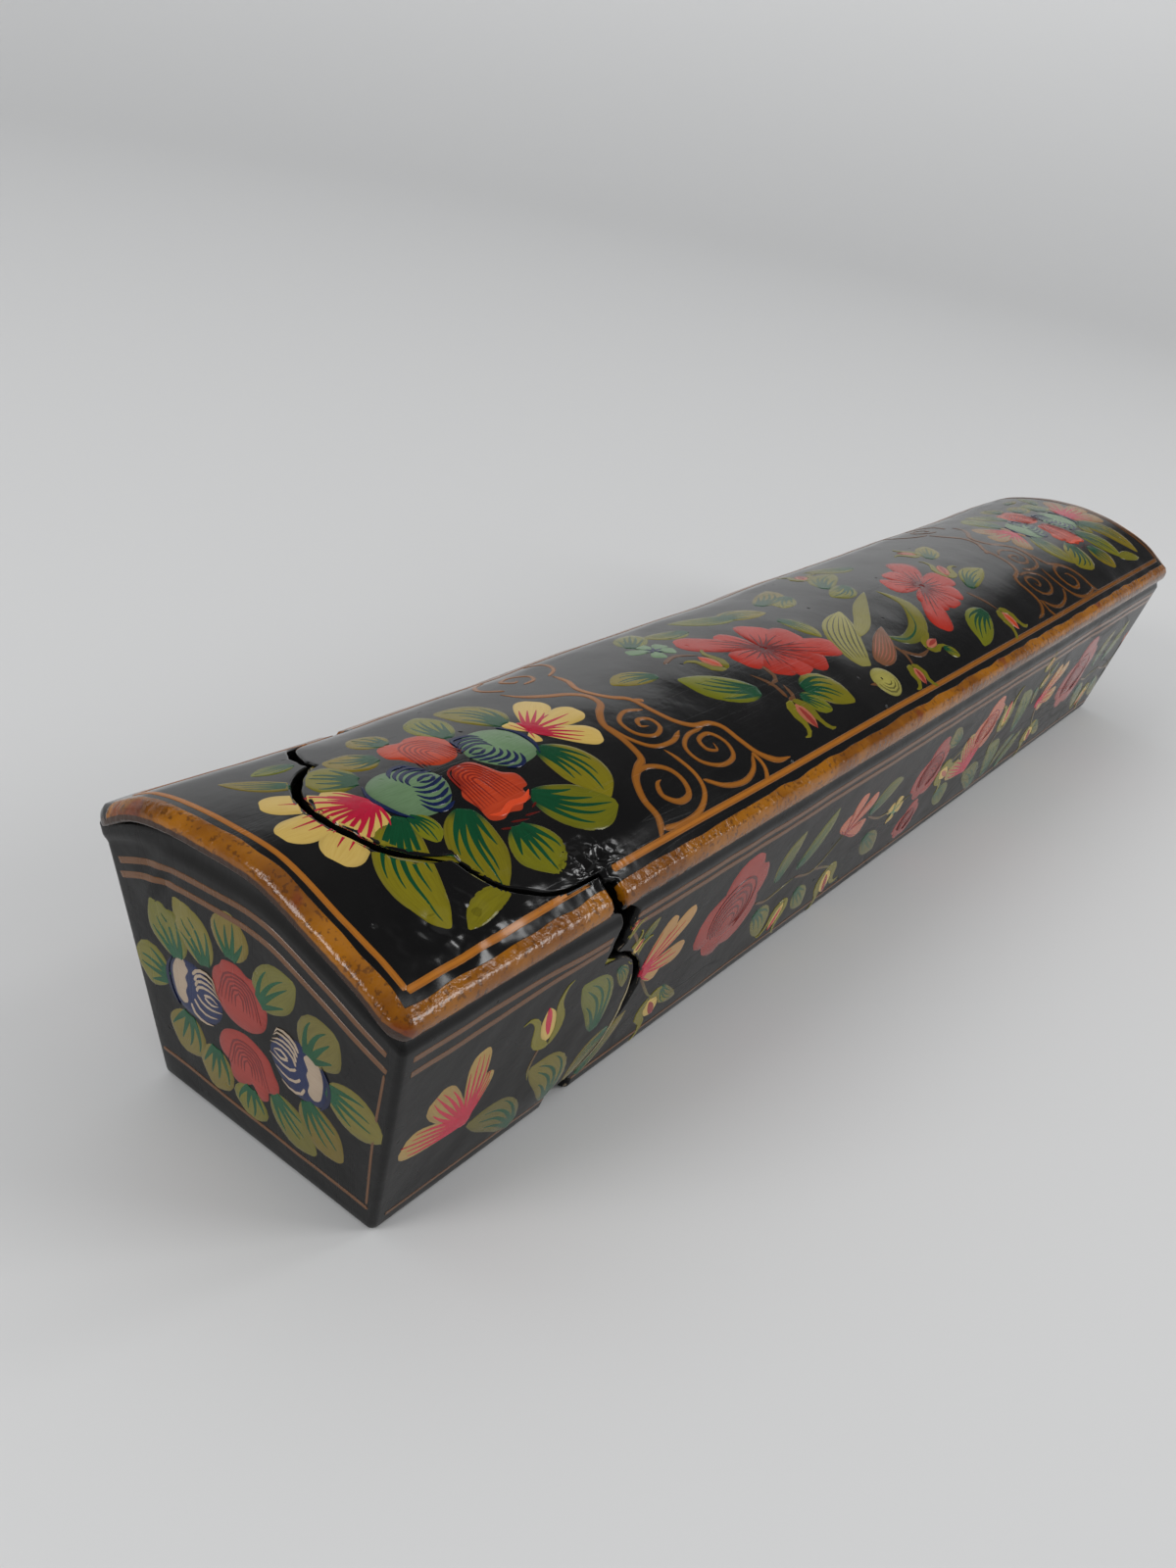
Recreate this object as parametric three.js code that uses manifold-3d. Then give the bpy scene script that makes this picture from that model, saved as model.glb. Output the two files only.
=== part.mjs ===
// Lacquered papier-mache pen box: a long case with a vaulted top, and a pull-off cap
// that carries the writing tray. Millimetres, X along the box, the cap at -X, Z up.
// The origin is at the middle of the underside.
import * as THREE from "three";
import { mergeVertices } from "three/addons/utils/BufferGeometryUtils.js";
import Module from "manifold-3d";

// Driving dimensions
const boxLength = 250; // over the end walls, at the rim
const rimWidth = 46; // over the side walls, at the rim
const wallHeight = 34; // underside to the top of the side walls
const vaultRise = 6; // how far the vaulted top rises above the rim
const vaultThick = 2.8; // thickness of the vaulted top, and of its rounded edge
const rimOverhang = 0.6; // the top's edge stands this far outside the walls
const sideInset = 5.4; // the side walls lean in by this much at the base
const endInset = 6; // the end walls lean in by this much at the base
const wallThick = 2.5;
const floorThick = 2.5;
const trayThick = 1.8; // walls and floor of the tray
const trayRim = 27; // height of the tray's top edge above the underside
const trayBackSpace = 9; // free length between the tray and the far end wall
const inkLength = 26; // compartment for the ink pot, at the cap end of the tray

// Fits
const glueGap = 0.3; // glue line between two fixed pieces
const slideClearance = 0.7; // between the tray and the inside of the case, all round
const jointGap = 0.6; // visible line between cap and case

// The cut between cap and case
const capLength = 34; // cap's length at the rim
const tongueSetback = 1.5; // the side tongues spring this far past the cut at the rim
const tongueRadius = 10.4; // round tongue of each cap wall, reaching over the case
const tongueSill = 0.4; // what is left of the case's wall below the tongue
const noseSetback = 12.3; // centre of the top's round nose, from the cut at the rim
const cuspBack = 2.4; // the nose's cusps, from its centre towards its tip
const cuspSide = 10.4; // the nose's cusps, to each side of the box's middle
const shoulderSetback = 4; // where the shoulders below the cusps end, from the cut
const rimBand = 3.1; // width of the painted rim, which the shoulders stop at

// Places worked out from the sizes
const cutAtRim = -boxLength / 2 + capLength;
const cutAtBase = cutAtRim + tongueSetback;
const wallFoot = floorThick + glueGap;
const capLining = slideClearance - glueGap; // the cap is lined, so the tray fits it tightly
const trayFloorLow = floorThick + slideClearance;
const trayFloorTop = trayFloorLow + trayThick;
const trayWallFoot = trayFloorTop + glueGap;
const arcSteps = 20;

const sideFace = (z) => rimWidth / 2 - sideInset * (1 - z / wallHeight);
const endFace = (z) => boxLength / 2 - endInset * (1 - z / wallHeight);
const sideLean = sideInset / wallHeight;
const endLean = endInset / wallHeight;

// Circle that the middle of the vaulted top's thickness follows
const vaultHalf = rimWidth / 2 + rimOverhang - vaultThick / 2;
const vaultRadius = (vaultHalf ** 2 + vaultRise ** 2) / (2 * vaultRise);
const vaultCentre = wallHeight + glueGap + vaultThick / 2 + vaultRise - vaultRadius;
const vaultAngle = Math.asin(vaultHalf / vaultRadius);

const wasm = await Module();
wasm.setup();

const lacquer = { color: 0x1c1b1a, roughness: 0.35, metalness: 0 };
const ochre = { color: 0x9a6212, roughness: 0.4, metalness: 0 };
const blackWash = { color: 0x26221e, roughness: 0.75, metalness: 0 };

function piece(name, geometry, finish) {
  const mesh = new THREE.Mesh(geometry, new THREE.MeshStandardMaterial(finish));
  mesh.name = name;
  return mesh;
}

// A closed outline given as points [across, up].
function outlineOf(points) {
  return new THREE.Shape(points.map(([across, up]) => new THREE.Vector2(across, up)));
}

function thick(shape, depth) {
  return new THREE.ExtrudeGeometry(shape, {
    depth,
    bevelEnabled: false,
    curveSegments: arcSteps,
  });
}

// Side board: an outline in X and Z, its outer face through Y = 0 at Z = 0 and leaning
// out to -Y with height, its thickness towards +Y.
function sideBoard(shape, depth, lean) {
  const board = thick(shape, depth);
  board.applyMatrix4(new THREE.Matrix4().set(
    1, 0, 0, 0,
    0, -lean, -1, depth,
    0, 1, 0, 0,
    0, 0, 0, 1,
  ));
  return board;
}

// End board: an outline in Y and Z, its outer face through X = 0 at Z = 0 and leaning
// out to +X with height, its thickness towards -X.
function endBoard(shape, depth, lean) {
  const board = thick(shape, depth);
  board.applyMatrix4(new THREE.Matrix4().set(
    0, lean, 1, -depth,
    1, 0, 0, 0,
    0, 1, 0, 0,
    0, 0, 0, 1,
  ));
  return board;
}

// The same piece on the other side of the box: one axis is turned round, and with it
// the order of each triangle's corners, so that the faces still point out.
function mirrored(geometry, axis) {
  const copy = geometry.index ? geometry.toNonIndexed() : geometry.clone();
  const scale = new THREE.Vector3(1, 1, 1);
  scale[axis] = -1;
  copy.scale(scale.x, scale.y, scale.z);
  const place = copy.attributes.position;
  for (let i = 0; i < place.count; i += 3) {
    const second = new THREE.Vector3().fromBufferAttribute(place, i + 1);
    const third = new THREE.Vector3().fromBufferAttribute(place, i + 2);
    place.setXYZ(i + 1, third.x, third.y, third.z);
    place.setXYZ(i + 2, second.x, second.y, second.z);
  }
  copy.computeVertexNormals();
  return copy;
}

// Flat board with leaning edges: a rectangle at its underside and one at its top, each
// given as [lowest x, highest x, half width, z].
function slab(under, over) {
  const corners = [under, over].flatMap(([x0, x1, half, z]) => [
    [x0, -half, z],
    [x1, -half, z],
    [x1, half, z],
    [x0, half, z],
  ]);
  const faces = [
    [0, 3, 2, 1],
    [4, 5, 6, 7],
    [0, 1, 5, 4],
    [1, 2, 6, 5],
    [2, 3, 7, 6],
    [3, 0, 4, 7],
  ];
  const geometry = new THREE.BufferGeometry();
  geometry.setAttribute("position", new THREE.Float32BufferAttribute(corners.flat(), 3));
  geometry.setIndex(faces.flatMap(([a, b, c, d]) => [a, b, c, a, c, d]));
  return geometry;
}

function toSolid(geometry) {
  const plain = geometry.clone();
  plain.deleteAttribute("normal");
  plain.deleteAttribute("uv");
  const merged = mergeVertices(plain, 1e-4);
  return new wasm.Manifold(new wasm.Mesh({
    numProp: 3,
    vertProperties: new Float32Array(merged.attributes.position.array),
    triVerts: new Uint32Array(merged.index.array),
  }));
}

function toGeometry(solid) {
  const mesh = solid.getMesh();
  const geometry = new THREE.BufferGeometry();
  geometry.setAttribute("position", new THREE.BufferAttribute(mesh.vertProperties, 3));
  geometry.setIndex(new THREE.BufferAttribute(mesh.triVerts, 1));
  geometry.computeVertexNormals();
  return geometry;
}

// The cut on a side wall, from the wall's top down to its foot: the cap's edge for a
// grow of 0, and the case's edge for a grow of the joint gap.
function cutDownWall(shape, grow) {
  const radius = tongueRadius + grow;
  const centreUp = wallFoot + tongueSill + jointGap + tongueRadius;
  const spring = Math.acos(grow / radius);
  shape.lineTo(cutAtRim + grow, wallHeight);
  shape.absarc(cutAtBase, centreUp, radius, spring, -spring, true);
  shape.lineTo(cutAtBase + grow, wallFoot);
}

function caseSideWall() {
  const shape = new THREE.Shape();
  shape.moveTo(endFace(wallFoot), wallFoot);
  shape.lineTo(endFace(wallHeight), wallHeight);
  cutDownWall(shape, jointGap);
  shape.closePath();
  return sideBoard(shape, wallThick, sideLean);
}

function capSideWall() {
  const shape = new THREE.Shape();
  shape.moveTo(-endFace(wallFoot), wallFoot);
  shape.lineTo(-endFace(wallHeight), wallHeight);
  cutDownWall(shape, 0);
  shape.closePath();
  return sideBoard(shape, wallThick + capLining, sideLean);
}

// End wall between the two side walls, its top following the underside of the vault.
function endWall(sideThick, depth) {
  const radius = vaultRadius - vaultThick / 2 - glueGap;
  const footHalf = sideFace(wallFoot) - sideThick - glueGap;
  const topHalf = sideFace(wallHeight) - sideThick - glueGap;
  const angle = Math.asin(topHalf / radius);
  const shape = new THREE.Shape();
  shape.moveTo(-footHalf, wallFoot);
  shape.lineTo(footHalf, wallFoot);
  shape.absarc(0, vaultCentre, radius, Math.PI / 2 - angle, Math.PI / 2 + angle, false);
  shape.closePath();
  return endBoard(shape, depth, endLean);
}

// Section of the vaulted top in Y and Z: two arcs about one centre, and round edges.
function vaultSection() {
  const up = Math.PI / 2;
  const inner = vaultRadius - vaultThick / 2;
  const outer = vaultRadius + vaultThick / 2;
  const shape = new THREE.Shape();
  shape.absarc(0, vaultCentre, inner, up + vaultAngle, up - vaultAngle, true);
  for (const side of [1, -1]) {
    const edgeAngle = up - side * vaultAngle;
    const edgeAcross = vaultRadius * Math.cos(edgeAngle);
    const edgeUp = vaultCentre + vaultRadius * Math.sin(edgeAngle);
    const from = side > 0 ? edgeAngle + Math.PI : edgeAngle;
    shape.absarc(edgeAcross, edgeUp, vaultThick / 2, from, from + Math.PI, false);
    if (side > 0) {
      shape.absarc(0, vaultCentre, outer, up - vaultAngle, up + vaultAngle, false);
    }
  }
  shape.closePath();
  return shape;
}

function wholeVault() {
  const length = boxLength + 2 * rimOverhang;
  const vault = thick(vaultSection(), length);
  vault.applyMatrix4(new THREE.Matrix4().set(
    0, 0, 1, -length / 2,
    1, 0, 0, 0,
    0, 1, 0, 0,
    0, 0, 0, 1,
  ));
  return toSolid(vault);
}

// Everything on the case's side of the cut, seen from above: a round nose at the
// middle, a cusp at each side of it, and an elliptic shoulder from each cusp to the rim.
function caseSideOfCut(grow) {
  const nose = cutAtRim - noseSetback;
  const back = cuspBack + grow;
  const side = cuspSide + grow;
  const noseRadius = Math.hypot(back, side);
  const cuspAngle = Math.atan2(side, -back);
  const shoulder = cutAtRim - shoulderSetback;
  const shoulderLong = shoulder - (nose - back);
  const shoulderWide = rimWidth / 2 - rimBand + grow - side;
  const farX = boxLength;
  const farY = rimWidth;
  const shape = new THREE.Shape();
  shape.moveTo(farX, -farY);
  shape.lineTo(farX, farY);
  shape.lineTo(cutAtRim - grow, farY);
  shape.lineTo(cutAtRim - grow, side + shoulderWide);
  shape.absellipse(
    shoulder, side, shoulderLong, shoulderWide, Math.PI / 2, Math.PI, false, 0,
  );
  shape.absarc(nose, 0, noseRadius, cuspAngle, 2 * Math.PI - cuspAngle, false);
  shape.absellipse(
    shoulder, -side, shoulderLong, shoulderWide, Math.PI, 1.5 * Math.PI, false, 0,
  );
  shape.lineTo(cutAtRim - grow, -side - shoulderWide);
  shape.lineTo(cutAtRim - grow, -farY);
  shape.closePath();
  return toSolid(thick(shape, 2 * wallHeight));
}

function buildCase() {
  const group = new THREE.Group();
  const side = caseSideWall();
  const front = piece("case_front_wall", side, lacquer);
  front.position.y = -sideFace(0);
  const back = piece("case_back_wall", mirrored(side, "y"), lacquer);
  back.position.y = sideFace(0);
  const end = piece("case_end_wall", endWall(wallThick, wallThick), lacquer);
  end.position.x = endFace(0);
  const floor = piece("case_floor", slab(
    [cutAtBase + jointGap, endFace(0), sideFace(0), 0],
    [cutAtBase + jointGap, endFace(floorThick), sideFace(floorThick), floorThick],
  ), lacquer);
  const vault = piece(
    "case_vault", toGeometry(wholeVault().intersect(caseSideOfCut(0))), ochre,
  );
  group.add(front, back, end, floor, vault);
  return group;
}

function buildCap() {
  const group = new THREE.Group();
  const side = capSideWall();
  const lined = wallThick + capLining;
  const front = piece("cap_front_wall", side, lacquer);
  front.position.y = -sideFace(0);
  const back = piece("cap_back_wall", mirrored(side, "y"), lacquer);
  back.position.y = sideFace(0);
  const end = piece("cap_end_wall", mirrored(endWall(lined, wallThick), "x"), lacquer);
  end.position.x = -endFace(0);
  const floor = piece("cap_floor", slab(
    [-endFace(0), cutAtBase, sideFace(0), 0],
    [-endFace(floorThick), cutAtBase, sideFace(floorThick), floorThick],
  ), lacquer);
  const vault = piece(
    "cap_vault", toGeometry(wholeVault().subtract(caseSideOfCut(jointGap))), ochre,
  );
  group.add(front, back, end, floor, vault);
  return group;
}

// The tray: a narrow trough inside the case, glued into the cap and drawn out with it.
function buildTray() {
  const group = new THREE.Group();
  const inset = wallThick + slideClearance;
  const half = (z) => sideFace(z) - inset;
  const capEnd = (z) => -endFace(z) + wallThick + glueGap;
  const innerEnd = endFace(trayFloorLow) - wallThick - trayBackSpace;

  const floor = piece("tray_floor", slab(
    [capEnd(trayFloorLow), innerEnd, half(trayFloorLow), trayFloorLow],
    [capEnd(trayFloorLow), innerEnd, half(trayFloorTop), trayFloorTop],
  ), blackWash);

  const wall = sideBoard(outlineOf([
    [capEnd(trayWallFoot), trayWallFoot],
    [innerEnd, trayWallFoot],
    [innerEnd, trayRim],
    [capEnd(trayRim), trayRim],
  ]), trayThick, sideLean);
  const front = piece("tray_front_wall", wall, blackWash);
  front.position.y = -sideFace(0) + inset;
  const back = piece("tray_back_wall", mirrored(wall, "y"), blackWash);
  back.position.y = sideFace(0) - inset;

  // Boards across the tray, between its side walls
  const across = (z) => half(z) - trayThick - glueGap;
  const board = outlineOf([
    [-across(trayWallFoot), trayWallFoot],
    [across(trayWallFoot), trayWallFoot],
    [across(trayRim), trayRim],
    [-across(trayRim), trayRim],
  ]);
  const capBoard = piece(
    "tray_cap_end", mirrored(endBoard(board, trayThick, endLean), "x"), blackWash,
  );
  capBoard.position.x = capEnd(0);
  const innerBoard = piece("tray_inner_end", endBoard(board, trayThick, 0), blackWash);
  innerBoard.position.x = innerEnd;
  const partition = piece("tray_partition", endBoard(board, trayThick, 0), blackWash);
  partition.position.x = capEnd(trayWallFoot) + trayThick + inkLength + trayThick;
  group.add(floor, front, back, capBoard, innerBoard, partition);
  return group;
}

const penBox = new THREE.Group();
const capAndTray = new THREE.Group();
capAndTray.add(buildCap(), buildTray());
penBox.add(buildCase(), capAndTray);

export default penBox;
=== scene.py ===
import math

import bmesh
import bpy
import numpy as np
from mathutils import Matrix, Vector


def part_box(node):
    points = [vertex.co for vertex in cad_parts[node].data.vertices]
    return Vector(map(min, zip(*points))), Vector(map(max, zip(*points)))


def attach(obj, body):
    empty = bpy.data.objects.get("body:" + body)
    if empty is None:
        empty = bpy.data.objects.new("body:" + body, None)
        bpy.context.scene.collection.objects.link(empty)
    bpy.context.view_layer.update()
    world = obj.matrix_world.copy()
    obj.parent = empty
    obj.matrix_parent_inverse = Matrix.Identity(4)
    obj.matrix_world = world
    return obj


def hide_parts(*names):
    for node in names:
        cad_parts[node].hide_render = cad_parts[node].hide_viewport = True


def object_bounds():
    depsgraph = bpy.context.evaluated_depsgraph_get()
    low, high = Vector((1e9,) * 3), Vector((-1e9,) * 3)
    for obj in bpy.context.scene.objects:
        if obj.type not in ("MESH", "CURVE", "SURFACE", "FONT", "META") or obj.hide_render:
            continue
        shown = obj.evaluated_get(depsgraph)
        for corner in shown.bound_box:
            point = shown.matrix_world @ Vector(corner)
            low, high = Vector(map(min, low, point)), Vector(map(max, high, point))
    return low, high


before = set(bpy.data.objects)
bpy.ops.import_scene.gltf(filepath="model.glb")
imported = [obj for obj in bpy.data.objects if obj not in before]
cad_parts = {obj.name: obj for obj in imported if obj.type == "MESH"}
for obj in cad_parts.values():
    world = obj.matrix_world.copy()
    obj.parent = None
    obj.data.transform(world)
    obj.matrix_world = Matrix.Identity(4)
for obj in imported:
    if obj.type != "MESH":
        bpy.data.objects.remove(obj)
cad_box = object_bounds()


# The view: a hand-held close look along the box from its cap end, at the left of its
# front, rolled a little clockwise. The picture is 1200 by 1600.
mm = 0.001
picture_height = 1600
focal_length = 1425  # in pixels of that picture
view_azimuth = math.radians(-58.39)
view_elevation = math.radians(27.95)
view_roll = math.radians(11.66)
view_place = np.array([-206.13, -86.84, 118.81])  # millimetres from the box's origin


def set_at(place, right, up, away):
    """The matrix of a camera or lamp at a place in millimetres, turned to three unit
    directions: its right, its top, and away from what it looks at."""
    rows = [[right[i], up[i], away[i], place[i] * mm] for i in range(3)]
    return Matrix(rows + [[0, 0, 0, 1]])


to_viewer = np.array([
    math.sin(view_azimuth) * math.cos(view_elevation),
    -math.cos(view_azimuth) * math.cos(view_elevation),
    math.sin(view_elevation),
])
level = np.cross([0, 0, 1], to_viewer)
level /= np.linalg.norm(level)
upright = np.cross(to_viewer, level)
picture_right = math.cos(view_roll) * level + math.sin(view_roll) * upright
picture_up = math.cos(view_roll) * upright - math.sin(view_roll) * level

camera_data = bpy.data.cameras.new("camera")
camera_data.sensor_width = 36
camera_data.lens = focal_length * camera_data.sensor_width / picture_height
camera_data.clip_start = 0.01
camera = bpy.data.objects.new("camera", camera_data)
bpy.context.scene.collection.objects.link(camera)
camera.matrix_world = set_at(view_place, picture_right, picture_up, to_viewer)
bpy.context.scene.camera = camera
bpy.context.scene.view_settings.view_transform = "Standard"


# The shooting table: white paper that lies flat in front and rises behind into a low
# pale backdrop, between two soft boxes, with a weak one overhead and a small lamp high on
# the right beyond the box. The rest of the room is dim, as the black lacquer shows.
def add_mesh(name, points, faces):
    """A mesh object from points in millimetres and faces as rows of point numbers."""
    mesh = bpy.data.meshes.new(name)
    mesh.from_pydata((np.asarray(points) * mm).tolist(), [], np.asarray(faces).tolist())
    mesh.polygons.foreach_set("use_smooth", np.ones(len(mesh.polygons), bool))
    piece = bpy.data.objects.new(name, mesh)
    bpy.context.scene.collection.objects.link(piece)
    return piece


def grid_faces(rows, columns, ring=False):
    """Four-sided faces between the points of a grid; ring joins the last column to the first."""
    row, column = np.meshgrid(
        np.arange(rows - 1), np.arange(columns if ring else columns - 1), indexing="ij"
    )
    after = (column + 1) % columns
    corners = [
        row * columns + column,
        row * columns + after,
        (row + 1) * columns + after,
        (row + 1) * columns + column,
    ]
    return np.stack(corners, axis=-1).reshape(-1, 4)


def sweep_points(floor_radius, bend_radius, wall_height, behind, turns, steps):
    """A flat disc whose rim bends up in a quarter round into an upright wall, but only on
    the side that lies behind, a direction in radians."""
    bend = np.linspace(0, np.pi / 2, steps)[1:]
    reach = np.concatenate([
        np.linspace(1, floor_radius, steps),
        floor_radius + bend_radius * np.sin(bend),
        [floor_radius + bend_radius],
    ])
    height = np.concatenate([
        np.zeros(steps), bend_radius * (1 - np.cos(bend)), [bend_radius + wall_height]
    ])
    angle = np.linspace(0, 2 * np.pi, turns, endpoint=False)
    share = np.clip(0.5 + 1.2 * np.cos(angle - behind), 0, 1)
    return np.stack([
        np.multiply.outer(reach, np.cos(angle)),
        np.multiply.outer(reach, np.sin(angle)),
        np.multiply.outer(height, share * share * (3 - 2 * share)),
    ], axis=-1)


def principled(name):
    """A new material with the name, its node tree and its Principled shader."""
    material = bpy.data.materials.new(name)
    material.use_nodes = True
    return material, material.node_tree, material.node_tree.nodes["Principled BSDF"]


def add_node(tree, kind, inputs=(), **settings):
    """A new node of a kind, with its settings set and each of its sockets, by name or
    number, given a value or joined to another node's output."""
    node = tree.nodes.new("ShaderNode" + kind)
    for name, value in settings.items():
        setattr(node, name, value)
    for name, value in dict(inputs).items():
        if isinstance(value, bpy.types.NodeSocket):
            tree.links.new(value, node.inputs[name])
        else:
            node.inputs[name].default_value = value
    return node


def object_place(tree):
    """The output of a place in the piece's own coordinates, in metres."""
    return add_node(tree, "TexCoord").outputs["Object"]


def reckon(tree, operation, *values):
    """The output of a Math node that works on the values, each a number or an output."""
    return add_node(tree, "Math", enumerate(values), operation=operation).outputs["Value"]


def ramp(tree, value, start, end, first=0.0, last=1.0, kind="SMOOTHSTEP"):
    """The output of a ramp: first where value is at start, last where it is at end."""
    return add_node(
        tree, "MapRange", {0: value, 1: start, 2: end, 3: first, 4: last}, interpolation_type=kind
    ).outputs["Result"]


def mix_colour(tree, share, first, last):
    """The output of a colour mix; first and last are colours or outputs."""
    return add_node(
        tree, "Mix", {"Factor": share, "A": first, "B": last}, data_type="RGBA"
    ).outputs["Result"]


sweep_grid = sweep_points(
    floor_radius=900, bend_radius=900, wall_height=50,
    behind=math.atan2(-to_viewer[1], -to_viewer[0]), turns=96, steps=24,
)
sweep = add_mesh(
    "sweep", sweep_grid.reshape(-1, 3), grid_faces(*sweep_grid.shape[:2], ring=True)
)

# The paper is painted paler up the backdrop and given a painted glow there, for the camera and for
# reflections: painted light. It is painted dark on the right above the table, a painted shade that
# the top's front mirrors.
paper, paper_tree, paper_shader = principled("white paper")
paper_place = add_node(paper_tree, "SeparateXYZ", {"Vector": object_place(paper_tree)})
paper_rise = ramp(paper_tree, paper_place.outputs["Z"], 0.0, 0.45, kind="LINEAR")
paper_lit = reckon(
    paper_tree, "MAXIMUM",
    ramp(paper_tree, paper_place.outputs["Y"], 0.10, 0.35, kind="LINEAR"),
    ramp(paper_tree, paper_place.outputs["Z"], 0.42, 0.20, kind="LINEAR"),
)
paper_colour = mix_colour(
    paper_tree, paper_lit, (0.10, 0.10, 0.10, 1),
    mix_colour(paper_tree, paper_rise, (0.60, 0.60, 0.595, 1), (0.92, 0.92, 0.91, 1)),
)
paper_ray = add_node(paper_tree, "LightPath").outputs
paper_seen = reckon(
    paper_tree, "MAXIMUM", paper_ray["Is Camera Ray"], paper_ray["Is Glossy Ray"]
)
paper_glow = reckon(paper_tree, "MULTIPLY", paper_seen, paper_rise)
paper_glow = reckon(paper_tree, "MULTIPLY", paper_glow, 0.085)
paper_glow = reckon(paper_tree, "MULTIPLY", paper_glow, paper_lit)
paper_tree.links.new(paper_colour, paper_shader.inputs["Base Color"])
paper_tree.links.new(paper_glow, paper_shader.inputs["Emission Strength"])
paper_shader.inputs["Emission Color"].default_value = (1, 1, 0.99, 1)
paper_shader.inputs["Roughness"].default_value = 0.8
sweep.data.materials.append(paper)


def soft_lamp(name, place, aim, size, power):
    """A square lamp at a place, turned to a point, all in millimetres and watts."""
    data = bpy.data.lights.new(name, "AREA")
    data.shape = "RECTANGLE"
    data.size = size * mm
    data.size_y = size * mm
    data.energy = power
    lamp = bpy.data.objects.new(name, data)
    away = np.subtract(place, aim).astype(float)
    away /= np.linalg.norm(away)
    side = np.cross([0, 1, 0], away)
    side /= np.linalg.norm(side)
    lamp.matrix_world = set_at(place, side, np.cross(away, side), away)
    bpy.context.scene.collection.objects.link(lamp)


soft_lamp("left softbox", (-1030, 300, 560), (-60, 0, 0), 420, 4.9)
soft_lamp("right softbox", (560, -840, 520), (-60, 0, 0), 420, 4.6)
soft_lamp("overhead softbox", (-60, 320, 1150), (0, 0, 0), 1300, 1.2)
soft_lamp("small lamp", (772, -484, 1016), (-110, -15, 40), 200, 1.15)

# The room's light comes from all round, but its walls are dim, so reflections see less.
world = bpy.data.worlds.new("room")
world.use_nodes = True
room = world.node_tree
room_ray = add_node(room, "LightPath").outputs["Is Glossy Ray"]
room_light = room.nodes["Background"].inputs
room_light["Color"].default_value = (0.75, 0.76, 0.78, 1)
room_strength = ramp(room, room_ray, 0.0, 1.0, 0.86, 0.13, kind="LINEAR")
room.links.new(room_strength, room_light["Strength"])
bpy.context.scene.world = world


# The two shells: cap and case are one moulded paper trough, sawn in two and lacquered.
# Each is walls, closed end and floor in one skin, with worn round corners, leaning
# out to the rim, and its cut edge is the hand-sawn line between cap and case.
def node_box(node):
    """Lowest and highest corner of a node of the frame, in millimetres."""
    low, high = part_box(node)
    return np.array(low) / mm, np.array(high) / mm


case_wall_low, case_wall_high = node_box("case_front_wall")
case_floor_high = node_box("case_floor")[1]
wall_top = case_wall_high[2]
wall_foot = case_wall_low[2]
rim_half = -case_wall_low[1]
rim_end = case_wall_high[0]
floor_top = case_floor_high[2]
side_lean = (rim_half - case_floor_high[1]) / (wall_top - floor_top)
end_lean = (rim_end - case_floor_high[0]) / (wall_top - floor_top)
wall_thick = 2.5
corner_radius = 0.9
foot_radius = 0.9

joint_gap = 0.6
cut_at_floor = node_box("cap_floor")[1][0]
cut_at_rim = node_box("cap_vault")[1][0] + joint_gap
tongue_radius = node_box("cap_front_wall")[1][0] - cut_at_floor
tongue_middle = wall_foot + 1.0 + tongue_radius
tongue_fullness = 2.4  # 2 would make its outline a circle
saw_gap = 0.5
cut_neck = 0.9  # how much further along the cut runs above the tongue than below it
cut_lip = 0.25  # how far back from the sawn edge the wall has its full thickness
slight_fold = 0.12  # how far the edge is folded in where its bare board begins to show
case_seed = 21
cap_seed = 41

vault_low, vault_high = node_box("case_vault")
vault_thick = 2.8
edge_radius = vault_thick / 2
edge_height = vault_low[2] + edge_radius
vault_half = vault_high[1] - edge_radius
vault_rise = vault_high[2] - edge_radius - edge_height
vault_radius = (vault_half ** 2 + vault_rise ** 2) / (2 * vault_rise)
vault_middle = edge_height + vault_rise - vault_radius


def smooth_step(start, end, value):
    """0 before start, 1 after end, and an even S-curve between them."""
    t = np.clip((np.asarray(value, float) - start) / (end - start), 0, 1)
    return t * t * (3 - 2 * t)


def bump_at(value, middle, width):
    """A bell curve of height 1 at the middle, falling to a third at one width from it."""
    return np.exp(-(((np.asarray(value, float) - middle) / width) ** 2))


def ripple(u, v, size, seed):
    """Smooth random relief, mostly from -1 to 1: a sum of plane waves about size long,
    each with its own direction, pace and phase."""
    waves = 12
    random = np.random.default_rng(seed)
    turn = random.uniform(0, 2 * np.pi, waves)
    pace = 2 * np.pi / size * random.uniform(0.6, 1.6, waves)
    phase = random.uniform(0, 2 * np.pi, waves)
    u, v = np.broadcast_arrays(np.asarray(u, float), np.asarray(v, float))
    angle = (
        np.multiply.outer(u, np.cos(turn) * pace)
        + np.multiply.outer(v, np.sin(turn) * pace) + phase
    )
    return np.cos(angle).sum(axis=-1) / math.sqrt(waves)


def side_half(z):
    """Half the width over the side walls at a height."""
    return rim_half - side_lean * (wall_top - z)


def end_half(z):
    """Half the length over the end walls at a height, upright near the rim's overhang."""
    return rim_end - end_lean * (wall_top - np.minimum(z, wall_top + 1.0))


def arch_rise(y):
    """How far an end wall stands above the side walls' top, to meet the vault above it."""
    under = vault_radius - edge_radius
    return np.maximum(
        vault_middle + np.sqrt(under ** 2 - np.minimum(np.abs(y), under) ** 2) - wall_top, 0
    )


def skew(x, y):
    """The cap end's arch was never true: lower on the front side, fuller on the back."""
    lower = 1.15 * smooth_step(1, 12, -y) * (1 - smooth_step(15, 24, -y))
    raised = 1.3 * smooth_step(3, 19, y)
    return raised * (1 - smooth_step(-126, -90, x)) - lower * (1 - smooth_step(-125, -70, x))


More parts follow.
